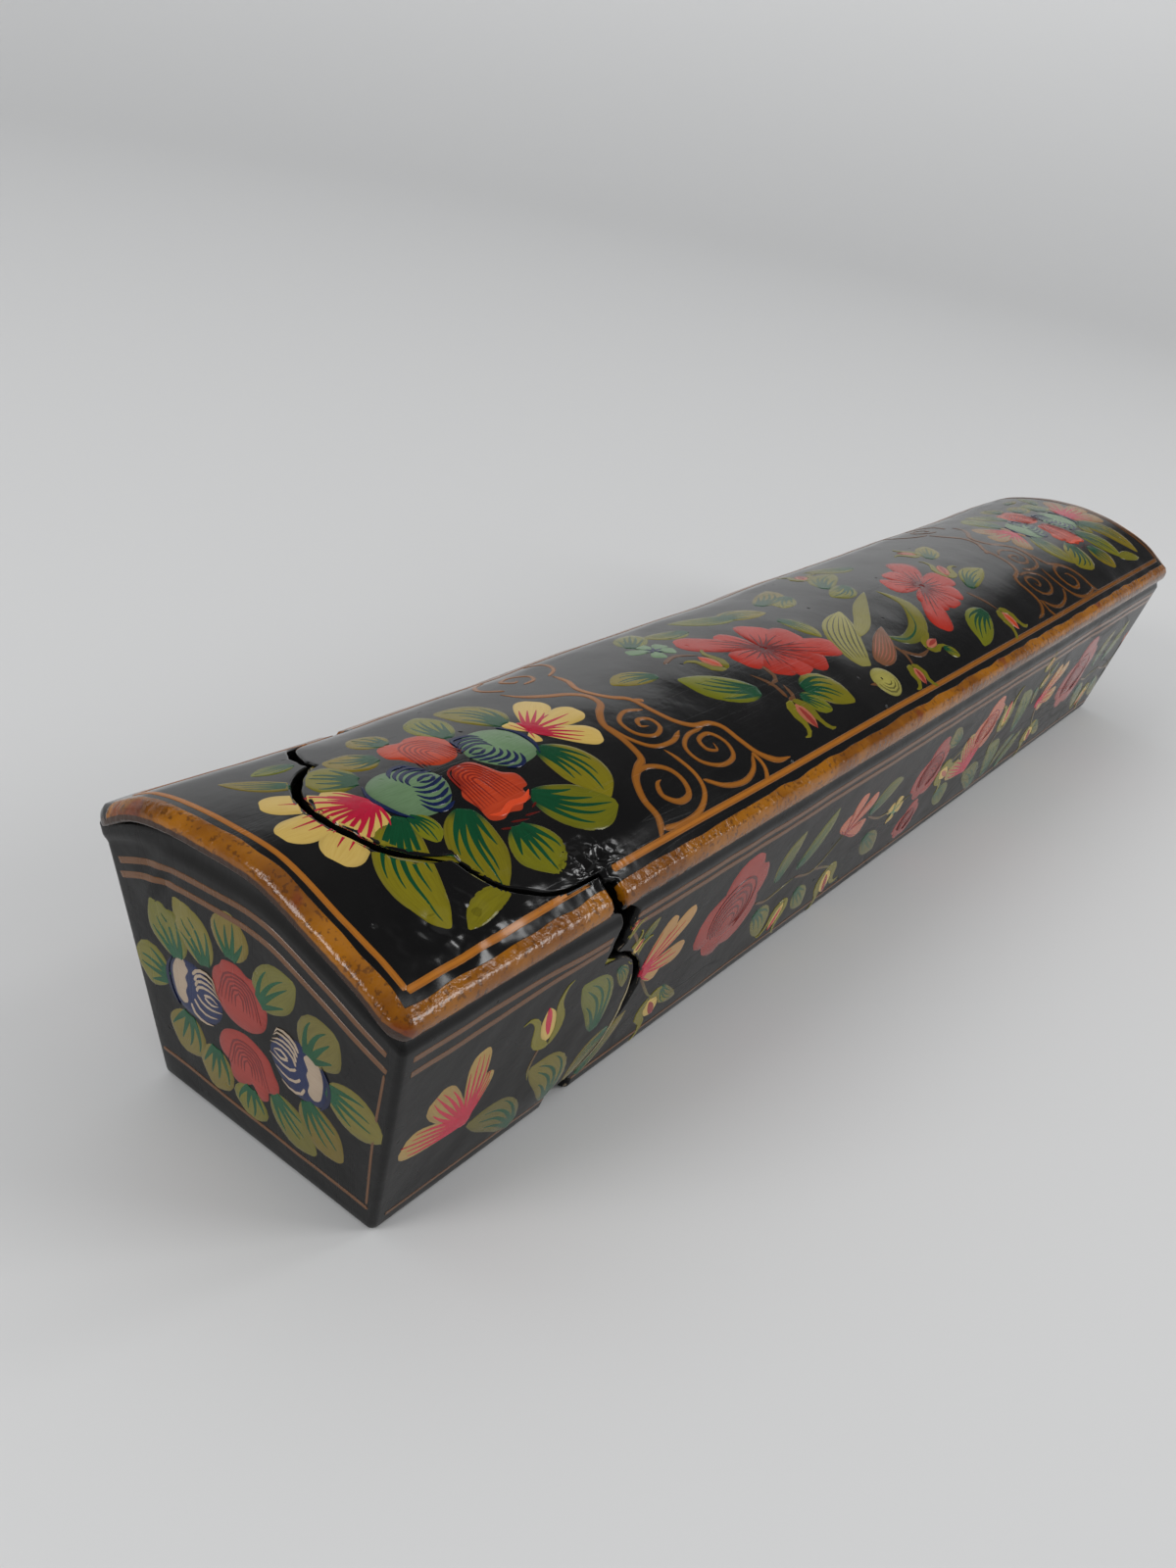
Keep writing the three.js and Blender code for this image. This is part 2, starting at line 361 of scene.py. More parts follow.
def cut_on_wall(z, grow):
    """X of the cut on a side wall at a height: a full round tongue of the cap that bulges
    over the case, and a straight cut below it and, a neck further on, above it; grow
    moves the line outwards from the cap."""
    reach = tongue_radius + grow
    up = np.abs(np.clip((z - tongue_middle) / reach, -1, 1))
    tongue = cut_at_floor + reach * (1 - up ** tongue_fullness) ** (1 / tongue_fullness)
    above = smooth_step(tongue_middle, tongue_middle + 6, z)
    straight = cut_at_floor + grow + cut_neck * above
    return np.where(up < 1, np.maximum(tongue, straight), straight)


def cap_edge_on_wall(z, front):
    """The cap's sawn edge on a side wall, broken away close under the rim."""
    ragged = 0.10 * ripple(z, 0, 3.0, 11 + front)
    chipped = 2.4 * smooth_step(32.2, 33.6, z)
    return cut_on_wall(z, 0) - chipped + ragged


def case_edge_on_wall(z, front):
    """The case's sawn edge on a side wall: clear of the cap's, wide open at the front
    below the rim and beside the tongue, and broken out at the foot."""
    ragged = 0.12 * ripple(z, 0, 2.4, 15 + front)
    cavity = front * 3.7 * smooth_step(24.6, 25.6, z) * (1 - smooth_step(31, 33.6, z))
    beside = front * 2.9 * bump_at(z, 14.5, 5.5)
    foot = front * 5.0 * (1 - smooth_step(2.2, 4.4, z))
    return cut_on_wall(z, saw_gap) + cavity + beside + foot + ragged


def wall_relief(u, z, seed):
    """How far a wall's lacquer stands off its true face: slow hollows, and small lumps."""
    return 0.09 * ripple(u, z, 38, seed) + 0.025 * ripple(u, z, 9, seed + 1)


def end_relief(y, z, seed):
    """The same for an end wall, where the lacquer has also wrinkled up beside the arch."""
    wrinkled = bump_at(y, 15, 5.5) * bump_at(z, 30, 5)
    return wall_relief(y, z, seed) + 0.16 * wrinkled * ripple(y + 0.5 * z, 0.3 * z, 4.2, seed + 2)


def cap_proud(x, z):
    """How far the cap's side walls stand out beside the tongue, where the joint has spread."""
    return 0.45 * smooth_step(-112, -88, x) * smooth_step(1, 8, z)


def case_proud(x, z):
    """The case's side walls are true."""
    return 0 * x * z


def under_rim(standing, row, y):
    """How far a wall stands out, given how far it would. Close under the rim it steps in,
    and the rim throws its shadow there; towards the back it swells out to meet the rim."""
    near = smooth_step(wall_top - 2.7, wall_top - 1.5, row)
    meets = smooth_step(6, 20, y)
    return standing * (1 - near * meets) + near * (0.35 * meets - 0.55 * (1 - meets))


def half_profile():
    """The shell's section from the middle of its top edge to its keel, outside and inside:
    rows of height, inset from the outer face, share of the way in to the keel, and the
    height of the row outside. The rows crowd where the tongue begins and ends."""
    around = np.linspace(0, np.pi, 25)
    wall = np.concatenate([
        np.linspace(wall_top - 0.3, tongue_middle + tongue_radius + 0.3, 24),
        tongue_middle + (tongue_radius + 0.02) * np.cos(around),
        np.linspace(tongue_middle - tongue_radius - 0.3, foot_radius, 5),
    ])
    foot = np.linspace(0, np.pi / 2, 6)[1:]
    keel = np.array([0.04, 0.15, 0.4, 0.7, 1.0])
    height = np.concatenate([
        [wall_top, wall_top - 0.12], wall, foot_radius * (1 - np.sin(foot)), 0 * keel
    ])
    inset = np.concatenate([
        [wall_thick / 2, 0.35], 0 * wall, foot_radius * (1 - np.cos(foot)), foot_radius + 0 * keel
    ])
    share = np.concatenate([0 * height[len(keel):], keel])
    inner_height = floor_top + height * (wall_top - floor_top) / wall_top
    inner_inset = np.concatenate([
        [wall_thick / 2, wall_thick - 0.35], wall_thick + 0 * height[2:]
    ])
    outside = np.stack([height, inset, share, height], axis=-1)
    inside = np.stack([inner_height, inner_inset, share, height], axis=-1)
    return outside, inside


def plan_run(wall_steps, end_steps):
    """Places round the shell's plan: 0 to 1 along the front wall from the cut, closer
    together near it, 1 to 2 round a corner, 2 to 3 across the closed end, 3 to 4 round
    the other corner and 4 to 5 back along the rear wall, with two more at each cut."""
    even = np.linspace(0, 1, wall_steps)
    wall = even - 0.8 * even * (1 - even)
    bend = np.linspace(0, 1, 7)[1:]
    across = np.linspace(0, 1, end_steps)[1:]
    return np.concatenate([
        [0, 0], wall, 1 + bend, 2 + across, 3 + bend, 5 - wall[-2::-1], [5, 5]
    ])[:, None]


def shell_points(side, edge, proud, seed, steps):
    """The shell as its section carried round its plan, and its marks. side is 1 for the
    case, whose closed end is at +X, and -1 for the cap. At each cut the section folds in
    to the wall's middle, which closes the sawn edge. The end's rows rise into the arch."""
    outside, inside = half_profile()
    profile = np.concatenate([inside[::-1], outside[1:]])
    z, inset, share, row = (profile[:, k][None, :] for k in range(4))
    along = plan_run(*steps)
    front = along <= 1
    wall = front | (along >= 4)
    flat_end = (along > 2) & (along < 3)
    fold = np.zeros_like(along)
    fold[[0, -1]] = 1
    fold[[1, -2]] = slight_fold
    lip = np.full_like(along, cut_lip)
    lip[[0, 1, -2, -1]] = 0

    # The face's outward direction turns from the front (0) by the end to the back (pi).
    turn = np.pi / 2 * np.where(along < 2, along - 1, np.where(along > 3, along - 2, 1))
    turn = np.clip(turn, 0, np.pi)
    radius = np.maximum(corner_radius - inset, 0.5)
    across = np.clip(2 * (along - 2) - 1, -1, 1)
    y = across * (side_half(z) - inset - radius) - radius * np.cos(turn)
    end = end_half(z) - inset
    start = side * np.where(front, edge(row, 1), edge(row, 0)) + lip
    run = np.where(front, along, 5 - along)
    x = np.where(
        wall, start + run * (end - radius - start), end - radius + radius * np.sin(turn)
    )
    rise = np.sin(turn) * arch_rise(y) + (side < 0) * skew(side * x, y)
    z = z + rise * (z / wall_top) ** 1.5

    from_corner = np.where(wall, end - x, side_half(z) - np.abs(y))
    relief = np.where(flat_end, end_relief(y, z, seed + 7), wall_relief(side * x, z, seed))
    relief = relief * smooth_step(1, 7, from_corner) * smooth_step(0.5, 4, z)
    relief = relief + under_rim(proud(side * x, z) * wall, row, y)
    x = x + relief * np.sin(turn) * (1 - share)
    y = y - relief * np.cos(turn) * (1 - share)
    keel_x = np.minimum(x, end - side_half(z))
    x = x + share * (keel_x - x)
    y = y * (1 - share)
    points = np.stack([side * x, y, z + 0 * x], axis=-1)
    folded = (points + points[:, ::-1]) / 2

    worn = 0.8 * (side < 0) * (along == 0) * (fold == 0) * bump_at(z, 11, 6)
    bare = (fold == slight_fold) + worn
    raw = 0.8 * bare * (inset < 0.5) * (1 - share) + 0 * x
    return points + fold[..., None] * (folded - points), {"raw": raw}


def add_marks(piece, marks):
    """Gives a piece's points the marks that its material reads: name to values."""
    for name, values in marks.items():
        layer = piece.data.attributes.new(name, "FLOAT", "POINT")
        layer.data.foreach_set("value", np.asarray(values, np.float32).ravel())


def close_mesh(piece):
    """Merges the points that coincide, drops the faces that this empties, and turns the
    rest outwards."""
    shape = bmesh.new()
    shape.from_mesh(piece.data)
    bmesh.ops.remove_doubles(shape, verts=shape.verts, dist=2e-6)
    bmesh.ops.dissolve_degenerate(shape, edges=shape.edges, dist=1e-6)
    bmesh.ops.recalc_face_normals(shape, faces=shape.faces)
    shape.to_mesh(piece.data)
    shape.free()


def add_closed(name, points, marks, ring=False):
    """A closed piece from a grid of points in millimetres, with its marks; ring joins the
    last column to the first."""
    piece = add_mesh(name, points.reshape(-1, 3), grid_faces(*points.shape[:2], ring=ring))
    add_marks(piece, marks)
    close_mesh(piece)
    return piece


def noise(tree, place, scale, detail, stretch=None, turn=0.0):
    """The output of a noise texture at a place: scale is in features for each metre, and
    stretch and turn, if given, scale and turn the place first."""
    if stretch:
        place = add_node(tree, "Mapping", {
            "Vector": place, "Rotation": (0, 0, turn), "Scale": stretch
        }).outputs["Vector"]
    return add_node(
        tree, "TexNoise", {"Vector": place, "Scale": scale, "Detail": detail}
    ).outputs["Fac"]


def new_group(name, inputs, outputs):
    """A shader node group with float inputs (name to default) and float outputs, with its
    input and output nodes."""
    tree = bpy.data.node_groups.new(name, "ShaderNodeTree")
    for socket, value in inputs.items():
        made = tree.interface.new_socket(name=socket, in_out="INPUT", socket_type="NodeSocketFloat")
        made.default_value = value
    for socket in outputs:
        tree.interface.new_socket(name=socket, in_out="OUTPUT", socket_type="NodeSocketFloat")
    return tree, tree.nodes.new("NodeGroupInput"), tree.nodes.new("NodeGroupOutput")


# The old varnish over lacquer and paint: gently uneven, with patches of hairline
# scratches, a few pits and duller rubbed places.
varnish, varnish_in, varnish_out = new_group(
    "aged varnish", {"Peel": 1.0, "Scratches": 1.0, "Pits": 1.0, "Dullness": 0.2},
    ["Height", "Roughness", "Rubbed"],
)
varnish_place = object_place(varnish)
peel = reckon(
    varnish, "MULTIPLY", noise(varnish, varnish_place, 300, 2.0), varnish_in.outputs["Peel"]
)
scratch = 0.0
for turn, stretch in [(0.5, (22, 520, 22)), (-0.9, (16, 420, 30)), (1.3, (30, 640, 18))]:
    lines = noise(varnish, varnish_place, 1.0, 1.0, stretch, turn)
    from_line = reckon(varnish, "ABSOLUTE", reckon(varnish, "SUBTRACT", lines, 0.5))
    patch = noise(varnish, varnish_place, 24 + 9 * turn, 1.0)
    hairlines = reckon(
        varnish, "MULTIPLY", ramp(varnish, from_line, 0.003, 0.014, 1.0, 0.0),
        ramp(varnish, patch, 0.5, 0.62),
    )
    scratch = reckon(varnish, "MAXIMUM", scratch, hairlines)
scratch = reckon(varnish, "MULTIPLY", scratch, varnish_in.outputs["Scratches"])
pit_cells = add_node(varnish, "TexVoronoi", {"Vector": varnish_place, "Scale": 300.0})
pit_pick = add_node(varnish, "SeparateXYZ", {"Vector": pit_cells.outputs["Color"]}).outputs["X"]
pits = reckon(
    varnish, "MULTIPLY", ramp(varnish, pit_cells.outputs["Distance"], 0.03, 0.13, 1.0, 0.0),
    ramp(varnish, pit_pick, 0.84, 0.88),
)
pits = reckon(varnish, "MULTIPLY", pits, varnish_in.outputs["Pits"])
rubbed = ramp(varnish, noise(varnish, varnish_place, 46, 4.0), 0.48, 0.72)
height = reckon(varnish, "SUBTRACT", peel, reckon(varnish, "MULTIPLY", scratch, 0.12))
height = reckon(varnish, "SUBTRACT", height, reckon(varnish, "MULTIPLY", pits, 0.7))
marred = reckon(varnish, "MAXIMUM", scratch, pits)
roughness = reckon(
    varnish, "ADD", varnish_in.outputs["Dullness"], reckon(varnish, "MULTIPLY", rubbed, 0.05)
)
roughness = reckon(varnish, "ADD", roughness, reckon(varnish, "MULTIPLY", marred, 0.2))
for socket, value in [("Height", height), ("Roughness", roughness), ("Rubbed", rubbed)]:
    varnish.links.new(value, varnish_out.inputs[socket])


def varnished(tree, shader, peel, scratches, pits, dullness, depth, grain=None):
    """Joins the aged varnish to a material's shader and returns its rubbed mask. depth is
    the height of a full step in millimetres, and grain is a further height, if given."""
    coat = add_node(tree, "Group", node_tree=varnish)
    for name, value in [
        ("Peel", peel), ("Scratches", scratches), ("Pits", pits), ("Dullness", dullness)
    ]:
        coat.inputs[name].default_value = value
    height = coat.outputs["Height"]
    if grain:
        height = reckon(tree, "ADD", height, grain)
    bump = add_node(tree, "Bump", {"Height": height, "Distance": depth * mm})
    tree.links.new(bump.outputs["Normal"], shader.inputs["Normal"])
    tree.links.new(coat.outputs["Roughness"], shader.inputs["Roughness"])
    return coat.outputs["Rubbed"]


def ochre_paint(tree, place, grain, low):
    """The output of the rim's colour: clouded ochre with brown specks and red spots, and
    dark brown where low, with the grain, comes near 1: grime, and painted shade under the edge."""
    cloud = noise(tree, place, 120, 3.0)
    colour = mix_colour(
        tree, ramp(tree, cloud, 0.35, 0.65), (0.150, 0.046, 0.0010, 1), (0.280, 0.100, 0.0020, 1)
    )
    speck = ramp(tree, noise(tree, place, 1500, 2.0), 0.56, 0.66)
    speck = reckon(tree, "MULTIPLY", speck, 0.62)
    colour = mix_colour(tree, speck, colour, (0.055, 0.018, 0.004, 1))
    spot = ramp(tree, noise(tree, place, 150, 1.0, (1, 1.3, 1), 0.7), 0.66, 0.74)
    spot = reckon(tree, "MULTIPLY", spot, 0.7)
    colour = mix_colour(tree, spot, colour, (0.13, 0.018, 0.006, 1))
    # Grime, and painted shade under the edge and towards the far side, darken the ochre.
    grime_and_shade = reckon(tree, "ADD", low, reckon(tree, "MULTIPLY", grain, 0.5))
    return mix_colour(tree, ramp(tree, grime_and_shade, 0.75, 1.15), colour, (0.030, 0.012, 0.005, 1))


def lacquer_material(name, peel, dullness, specular):
    """Black lacquer with the ochre of the rim where the attribute rim is above a half,
    and bare brown paper board where the attribute raw is, both with broken edges."""
    material, tree, shader = principled(name)
    shader.inputs["Specular IOR Level"].default_value = specular
    place = object_place(tree)
    rim, low, raw = (
        add_node(tree, "Attribute", attribute_name=mark).outputs["Fac"]
        for mark in ("rim", "low", "raw")
    )
    grain = noise(tree, place, 900, 4.0)
    coarse = reckon(tree, "MULTIPLY", reckon(tree, "MULTIPLY", grain, rim), 1.5)
    rubbed = varnished(tree, shader, peel, 0.35, 1.0, dullness, 0.10, coarse)
    black = mix_colour(tree, rubbed, (0.0028, 0.0026, 0.0026, 1), (0.006, 0.0055, 0.0052, 1))
    uneven = reckon(tree, "SUBTRACT", grain, 0.5)
    edge = reckon(tree, "ADD", rim, reckon(tree, "MULTIPLY", uneven, 0.9))
    colour = mix_colour(
        tree, ramp(tree, edge, 0.45, 0.55), black, ochre_paint(tree, place, grain, low)
    )
    board = mix_colour(tree, grain, (0.06, 0.042, 0.028, 1), (0.34, 0.28, 0.20, 1))
    bare = ramp(tree, reckon(tree, "ADD", raw, uneven), 0.80, 0.95)
    tree.links.new(mix_colour(tree, bare, colour, board), shader.inputs["Base Color"])
    return material


lacquer = lacquer_material("black lacquer", peel=0.8, dullness=0.27, specular=0.21)

case_shell = add_closed(
    "case_shell", *shell_points(1, case_edge_on_wall, case_proud, case_seed, steps=(190, 40))
)
case_shell.data.materials.append(lacquer)
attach(case_shell, "case")
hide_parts("case_front_wall", "case_back_wall", "case_end_wall", "case_floor")

cap_shell = add_closed(
    "cap_shell", *shell_points(-1, cap_edge_on_wall, cap_proud, cap_seed, steps=(70, 40))
)
cap_shell.data.materials.append(lacquer)
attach(cap_shell, "cap_and_tray")
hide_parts("cap_front_wall", "cap_back_wall", "cap_end_wall", "cap_floor")


# The vaulted top, in two pieces: a bent board of layered paper with a round edge. The
# case's piece runs out in a round nose with a cusp and a shoulder at each side, and
# the cap's is cut out to fit it. The ochre rim is painted over the edge.
# The setbacks are measured back from the cut at the rim, and the ochre band begins at
# band_side and band_end from the box's middle.
nose_setback = 12.3
cusp_back = 2.4
cusp_side = 10.4
shoulder_setback = 4.0
shoulder_half = 19.9
edge_sag = 0.6
end_reach = cad_box[1][0] / mm - 0.05
plan_radius = 2.2
band_side = 22.04
band_end = 123.9


def cut_on_top(y, grow):
    """X of the cut seen from above: a circle's nose at the middle, a quarter ellipse from
    each cusp to the shoulder, and straight out over the rim."""
    y = np.abs(y)
    nose_x = cut_at_rim - nose_setback
    side = cusp_side + grow
    nose = nose_x - np.sqrt(
        (cusp_back + grow) ** 2 + side ** 2 - np.minimum(y, side) ** 2
    )
    shoulder_x = cut_at_rim - shoulder_setback
    wide = shoulder_half + grow - side
    slope = np.clip((y - side) / wide, 0, 1)
    shoulder = shoulder_x - (shoulder_x - nose_x + cusp_back + grow) * np.sqrt(1 - slope ** 2)
    outer = np.where(y < side + wide, shoulder, cut_at_rim - grow)
    return np.where(y < side, nose, outer)


def case_edge_on_top(y):
    """The case's sawn edge, ragged, and broken back at the front rim."""
    broken = 1.6 * smooth_step(20.6, 21.4, -y) + 0.9 * smooth_step(17, 20, y)
    return cut_on_top(y, 0) + 0.10 * ripple(y, 0, 2.2, 61) + broken


def cap_edge_on_top(y):
    """The cap's sawn edge, a fine line off the case's, wider round the nose."""
    gap = 0.45 + 0.45 * (1 - smooth_step(9, 12, np.abs(y))) + 0.35 * smooth_step(9, 12, y)
    broken = 0.3 * smooth_step(20.6, 21.6, -y) + 0.9 * smooth_step(17, 20.5, y)
    return cut_on_top(y, gap) + 0.08 * ripple(y, 0, 2.6, 67) - broken


def top_relief(x, y):
    """How far the top's lacquer stands off the true vault: slow hollows, soft lumps where
    the paper has blistered by the cap's front rim, and burst lacquer beside the cut."""
    slow = 0.10 * ripple(x, y, 40, 71) + 0.03 * ripple(x, y, 11, 72) - 0.30
    blister = bump_at(x, -110, 11) * bump_at(y, -17, 4.0)
    lumps = blister * (0.22 * ripple(x, y, 5.5, 73) + 0.03 * ripple(x, y, 1.9, 76))
    burst = bump_at(x, -91.2, 3.4) * bump_at(y, -18, 2.1)
    folds = 1 - 1.8 * np.abs(ripple(x, y, 3.4, 74)) + 0.35 * ripple(x, y, 1.5, 75)
    return slow + lumps + 0.36 * burst * folds


def bend_top(x, s, h, out):
    """A point of the top: x along the box, s round the vault's middle line, h off that
    line, and out beyond the vault's edge."""
    angle = s / vault_radius
    y = (vault_radius + h) * np.sin(angle) + out * np.cos(angle)
    z = vault_middle + (vault_radius + h) * np.cos(angle) - np.abs(out) * np.abs(np.sin(angle))
    droop = 0.7 * smooth_step(17, 23, np.abs(s))
    return np.stack([x + 0 * y, y, z - droop + skew(x, y)], axis=-1)


def top_skin(x, y, height):
    """A point at a height above the top's lacquer, over the place (x, y) seen from above."""
    s = vault_radius * np.arcsin(np.clip(y / (vault_radius + edge_radius), -1, 1))
    return bend_top(x, s, edge_radius + top_relief(x, y) + height, 0 * s)


def top_section():
    """The top's section as a ring: s, h and out of each point, over the top from back
    to front, round the front edge, under, and round the back edge. Its points are close
    together where the cut has its cusps and shoulders, and at the rim's paint line."""
    span = vault_radius * math.asin(vault_half / vault_radius)
    close = np.concatenate([
        cusp_side + np.array([-0.2, -0.05, 0.05, 0.2, 0.5]),
        shoulder_half + np.array([-1.0, -0.5, -0.1, 0.05, 0.2, 0.4, 0.6, 0.75, 0.9]),
        band_side + np.array([-0.03, 0.03]),
    ])
    s_top = np.sort(np.concatenate([np.linspace(-span, span, 171), close, -close]))
    s_under = np.linspace(-span, span, 33)
    round_edge = np.linspace(np.pi / 2, -np.pi / 2, 13)[1:-1]
    s = np.concatenate([s_top, span + 0 * round_edge, s_under[::-1], -span + 0 * round_edge])
    sagged = np.maximum(np.sin(round_edge) - edge_sag * np.cos(round_edge), -0.98)
    h = edge_radius * np.concatenate([
        1 + 0 * s_top, sagged, -1 + 0 * s_under, sagged[::-1]
    ])
    out = edge_radius * np.concatenate([
        0 * s_top, np.cos(round_edge), 0 * s_under, -np.cos(round_edge)
    ])
    return s, h, out


def top_rows(start, rows):
    """X of the top's sections, given where the cut is at each point, and the size of each:
    a small round at the cut, a straight run, closer together near the cut, and a bevel
    at the far end that turns under in a ridge. X is counted towards that end."""
    lip_in = np.array([0, 0, 0.05, 0.16, 0.35])[:, None]
    lip_size = np.array([0, 0.75, 0.87, 0.95])
    even = np.linspace(0, 1, rows)[1:, None]
    run = even - 0.8 * even * (1 - even)
    run_end = band_end - 2.3
    bevel = 1 - (1 - np.linspace(0, 1, 11)[1:]) ** 1.6
    turn_start = end_reach - edge_radius
    end_rows = np.concatenate([
        band_end + np.array([-1.5, -0.7, -0.03, 0.03]), [turn_start],
        turn_start + edge_radius * bevel,
    ])
    x = np.concatenate([
        start + lip_in, start + lip_in[-1] + run * (run_end - start - lip_in[-1]),
        end_rows[:, None] + 0 * start,
    ])
    size = np.ones(len(x))
    size[:len(lip_size)] = lip_size
    size[-len(bevel):] = 1 - 0.5 * bevel ** 1.2 - 0.5 * bevel ** 10
    size[-1] = 0
    return x, size[:, None]


def rim_marks(x, y, down, ochre):
    """The rim's marks: where ochre, the painted band, still shows, and how dark it is made.
    down is 1 on top and -1 underneath. The paint is lost beside the joint, at the cap's back
    corner and in chips low on the front. The dark is painted shade underneath the edge and,
    thinner, towards the case's far side; it is thick under the near end's ridge, where the
    ochre ends, and thinner on the near end's back half, where it is grime."""
    lost = (x > -92) & (x < -90.6 + 0.3 * ripple(y, 0, 1.5, 83)) & (y < 0)
    lost = lost | ((x < -121) & (y > 21.3 + 0.3 * ripple(x, y, 1.5, 84)))
    chipped = bump_at(x, -85, 11) * (0.7 + 0.6 * ripple(x, down, 4, 85)) > 0.45
    lost = lost | (chipped & (down < -0.25) & (y < 0))
    # Painted shade underneath and towards the case's far side; the ochre's dark end under the near
    # end's ridge; grime on its back half.
    grime_and_shade = np.maximum.reduce([
        smooth_step(-0.1, -0.9, down),
        1.2 * smooth_step(0.05, -0.25, down) * (x < -124),
        0.62 * smooth_step(0, 14, y) * (x < -120),
        0.72 * smooth_step(-50, 30, x) * smooth_step(1.0, 0.5, down),
    ])
    return {"rim": ochre & (down > -0.98) & ~lost, "low": grime_and_shade * ochre}


def top_points(side, edge, rows):
    """The top as its section carried along x from the sawn edge to the far end, and its
    marks. side is 1 for the case's piece and -1 for the cap's. The rim's paint line
    wanders a little, and the plan's corners are rounded."""
    s, h, out = (part[None, :] for part in top_section())
    y_flat = (vault_radius + edge_radius) * np.sin(s / vault_radius)
    x, size = top_rows(side * edge(y_flat), rows)
    ochre = (np.abs(s) > band_side) | (x > band_end)
    on_top = h > 0.99 * edge_radius
    wander_side = 0.12 * ripple(x * side, 3, 9, 82) * bump_at(np.abs(s), band_side, 0.6)
    wander_end = 0.10 * ripple(y_flat, 0, 7, 81) * bump_at(x, band_end, 0.8)
    x = side * (x + wander_end * on_top)
    s = s + np.sign(s) * wander_side * on_top
    into_corner = np.clip(np.abs(x) - (end_reach - plan_radius), 0, plan_radius)
    s = s * (1 - (plan_radius - np.sqrt(plan_radius ** 2 - 0.98 * into_corner ** 2)) / vault_half)
    y = (vault_radius + h) * np.sin(s / vault_radius)
    relief = top_relief(x, y) * smooth_step(-0.2, 1.0, h / edge_radius)
    relief = relief * smooth_step(0.9, 0.2, np.abs(out) / edge_radius)
    far_half = np.arange(len(x))[:, None] > len(x) / 2
    sag = edge_sag * edge_radius * (1 - size) * far_half
    points = bend_top(x, s + 0 * x, size * (h + relief) - sag, size * out)
    raw = np.zeros(x.shape)
    raw[1:3] = 0.5 + 0.12 * smooth_step(-14, -20, y[1:3])
    marks = rim_marks(x, y, (size * h - sag) / edge_radius, ochre)
    return points, {**marks, "raw": raw}


painted_top = lacquer_material("lacquer and ochre rim", peel=0.45, dullness=0.16, specular=0.42)

case_top = add_closed("case_top", *top_points(1, case_edge_on_top, 190), ring=True)
case_top.data.materials.append(painted_top)
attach(case_top, "case")
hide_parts("case_vault")

cap_top = add_closed("cap_top", *top_points(-1, cap_edge_on_top, 90), ring=True)
cap_top.data.materials.append(painted_top)
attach(cap_top, "cap_and_tray")
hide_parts("cap_vault")


# The tray that draws out with the cap: a thin paper-board trough washed in dark reddish
# brown, worn pale along its rim, closed at both ends, with a partition that makes the
# ink compartment behind the cap.
tray_low, tray_high = node_box("tray_floor")
tray_rim = node_box("tray_front_wall")[1][2]
tray_far = node_box("tray_inner_end")[1][0]
tray_near_inset = 2.8
tray_side_inset = 3.2
tray_thick = 1.8
tray_corner = 1.6
tray_foot = 0.8
tray_fillet = 1.2


def tray_profile():
    """The trough's section from its keel outside, over the rim and down to its floor
    inside: height, inset from the outer face, and share of the way in to the keel."""
    low = tray_low[2]
    floor = tray_high[2]
    keel = np.array([1.0, 0.65, 0.35, 0.12])
    foot = np.linspace(np.pi / 2, 0, 6)
    wall = np.linspace(6, 25, 8)
    over = np.linspace(0, np.pi, 9)
    inner_wall = np.linspace(25, 8, 8)
    corner = np.linspace(0, np.pi / 2, 6)
    half_thick = tray_thick / 2
    height = np.concatenate([
        low + 0 * keel, low + tray_foot * (1 - np.sin(foot)), wall,
        tray_rim - half_thick + half_thick * np.sin(over), inner_wall,
        floor + tray_fillet * (1 - np.sin(corner)), floor + 0 * keel,
    ])
    inset = np.concatenate([
        tray_foot + 0 * keel, tray_foot * (1 - np.cos(foot)), 0 * wall,
        half_thick * (1 - np.cos(over)), tray_thick + 0 * inner_wall,
        tray_thick + tray_fillet * (1 - np.cos(corner)), tray_thick + tray_fillet + 0 * keel,
    ])
    share = np.concatenate([keel, 0 * height[2 * len(keel):], keel[::-1]])
    return height[:, None], inset[:, None], share[:, None]


def tray_points(steps):
    """The trough as its section carried round its plan, a rectangle with round corners:
    from each corner's arc a straight run leads to the next, in so many steps along a side
    and fewer across an end."""
    end_steps = 12
    z, inset, share = tray_profile()
    radius = np.maximum(tray_corner - inset, 0.3)
    near = -end_half(z) + tray_near_inset + inset
    far = tray_far - inset
    half = side_half(z) - tray_side_inset - inset
    turn = np.linspace(0, np.pi / 2, 5)
    arcs = []
    for quarter, (end, side) in enumerate([(far, 1), (near, 1), (near, -1), (far, -1)]):
        inward = radius if end is near else -radius
        angle = turn + quarter * np.pi / 2
        arcs.append(np.stack([
            end + inward + radius * np.cos(angle), side * (half - radius) + radius * np.sin(angle)
        ], axis=-1))
    ring = []
    for arc, after, count in zip(arcs, arcs[1:] + arcs[:1], (steps, end_steps) * 2):
        t = np.linspace(0, 1, count + 2)[1:-1, None]
        ring += [arc, arc[:, -1:] + t * (after[:, :1] - arc[:, -1:])]
    x, y = np.moveaxis(np.concatenate(ring, axis=1), -1, 0)
    y = y + 0.12 * ripple(x, z, 45, 91) * np.sign(y) * smooth_step(6, 20, z)
    keel_x = np.clip(x, near + half, far - half)
    return np.stack([x + share * (keel_x - x), y * (1 - share), z + 0 * x], axis=-1)


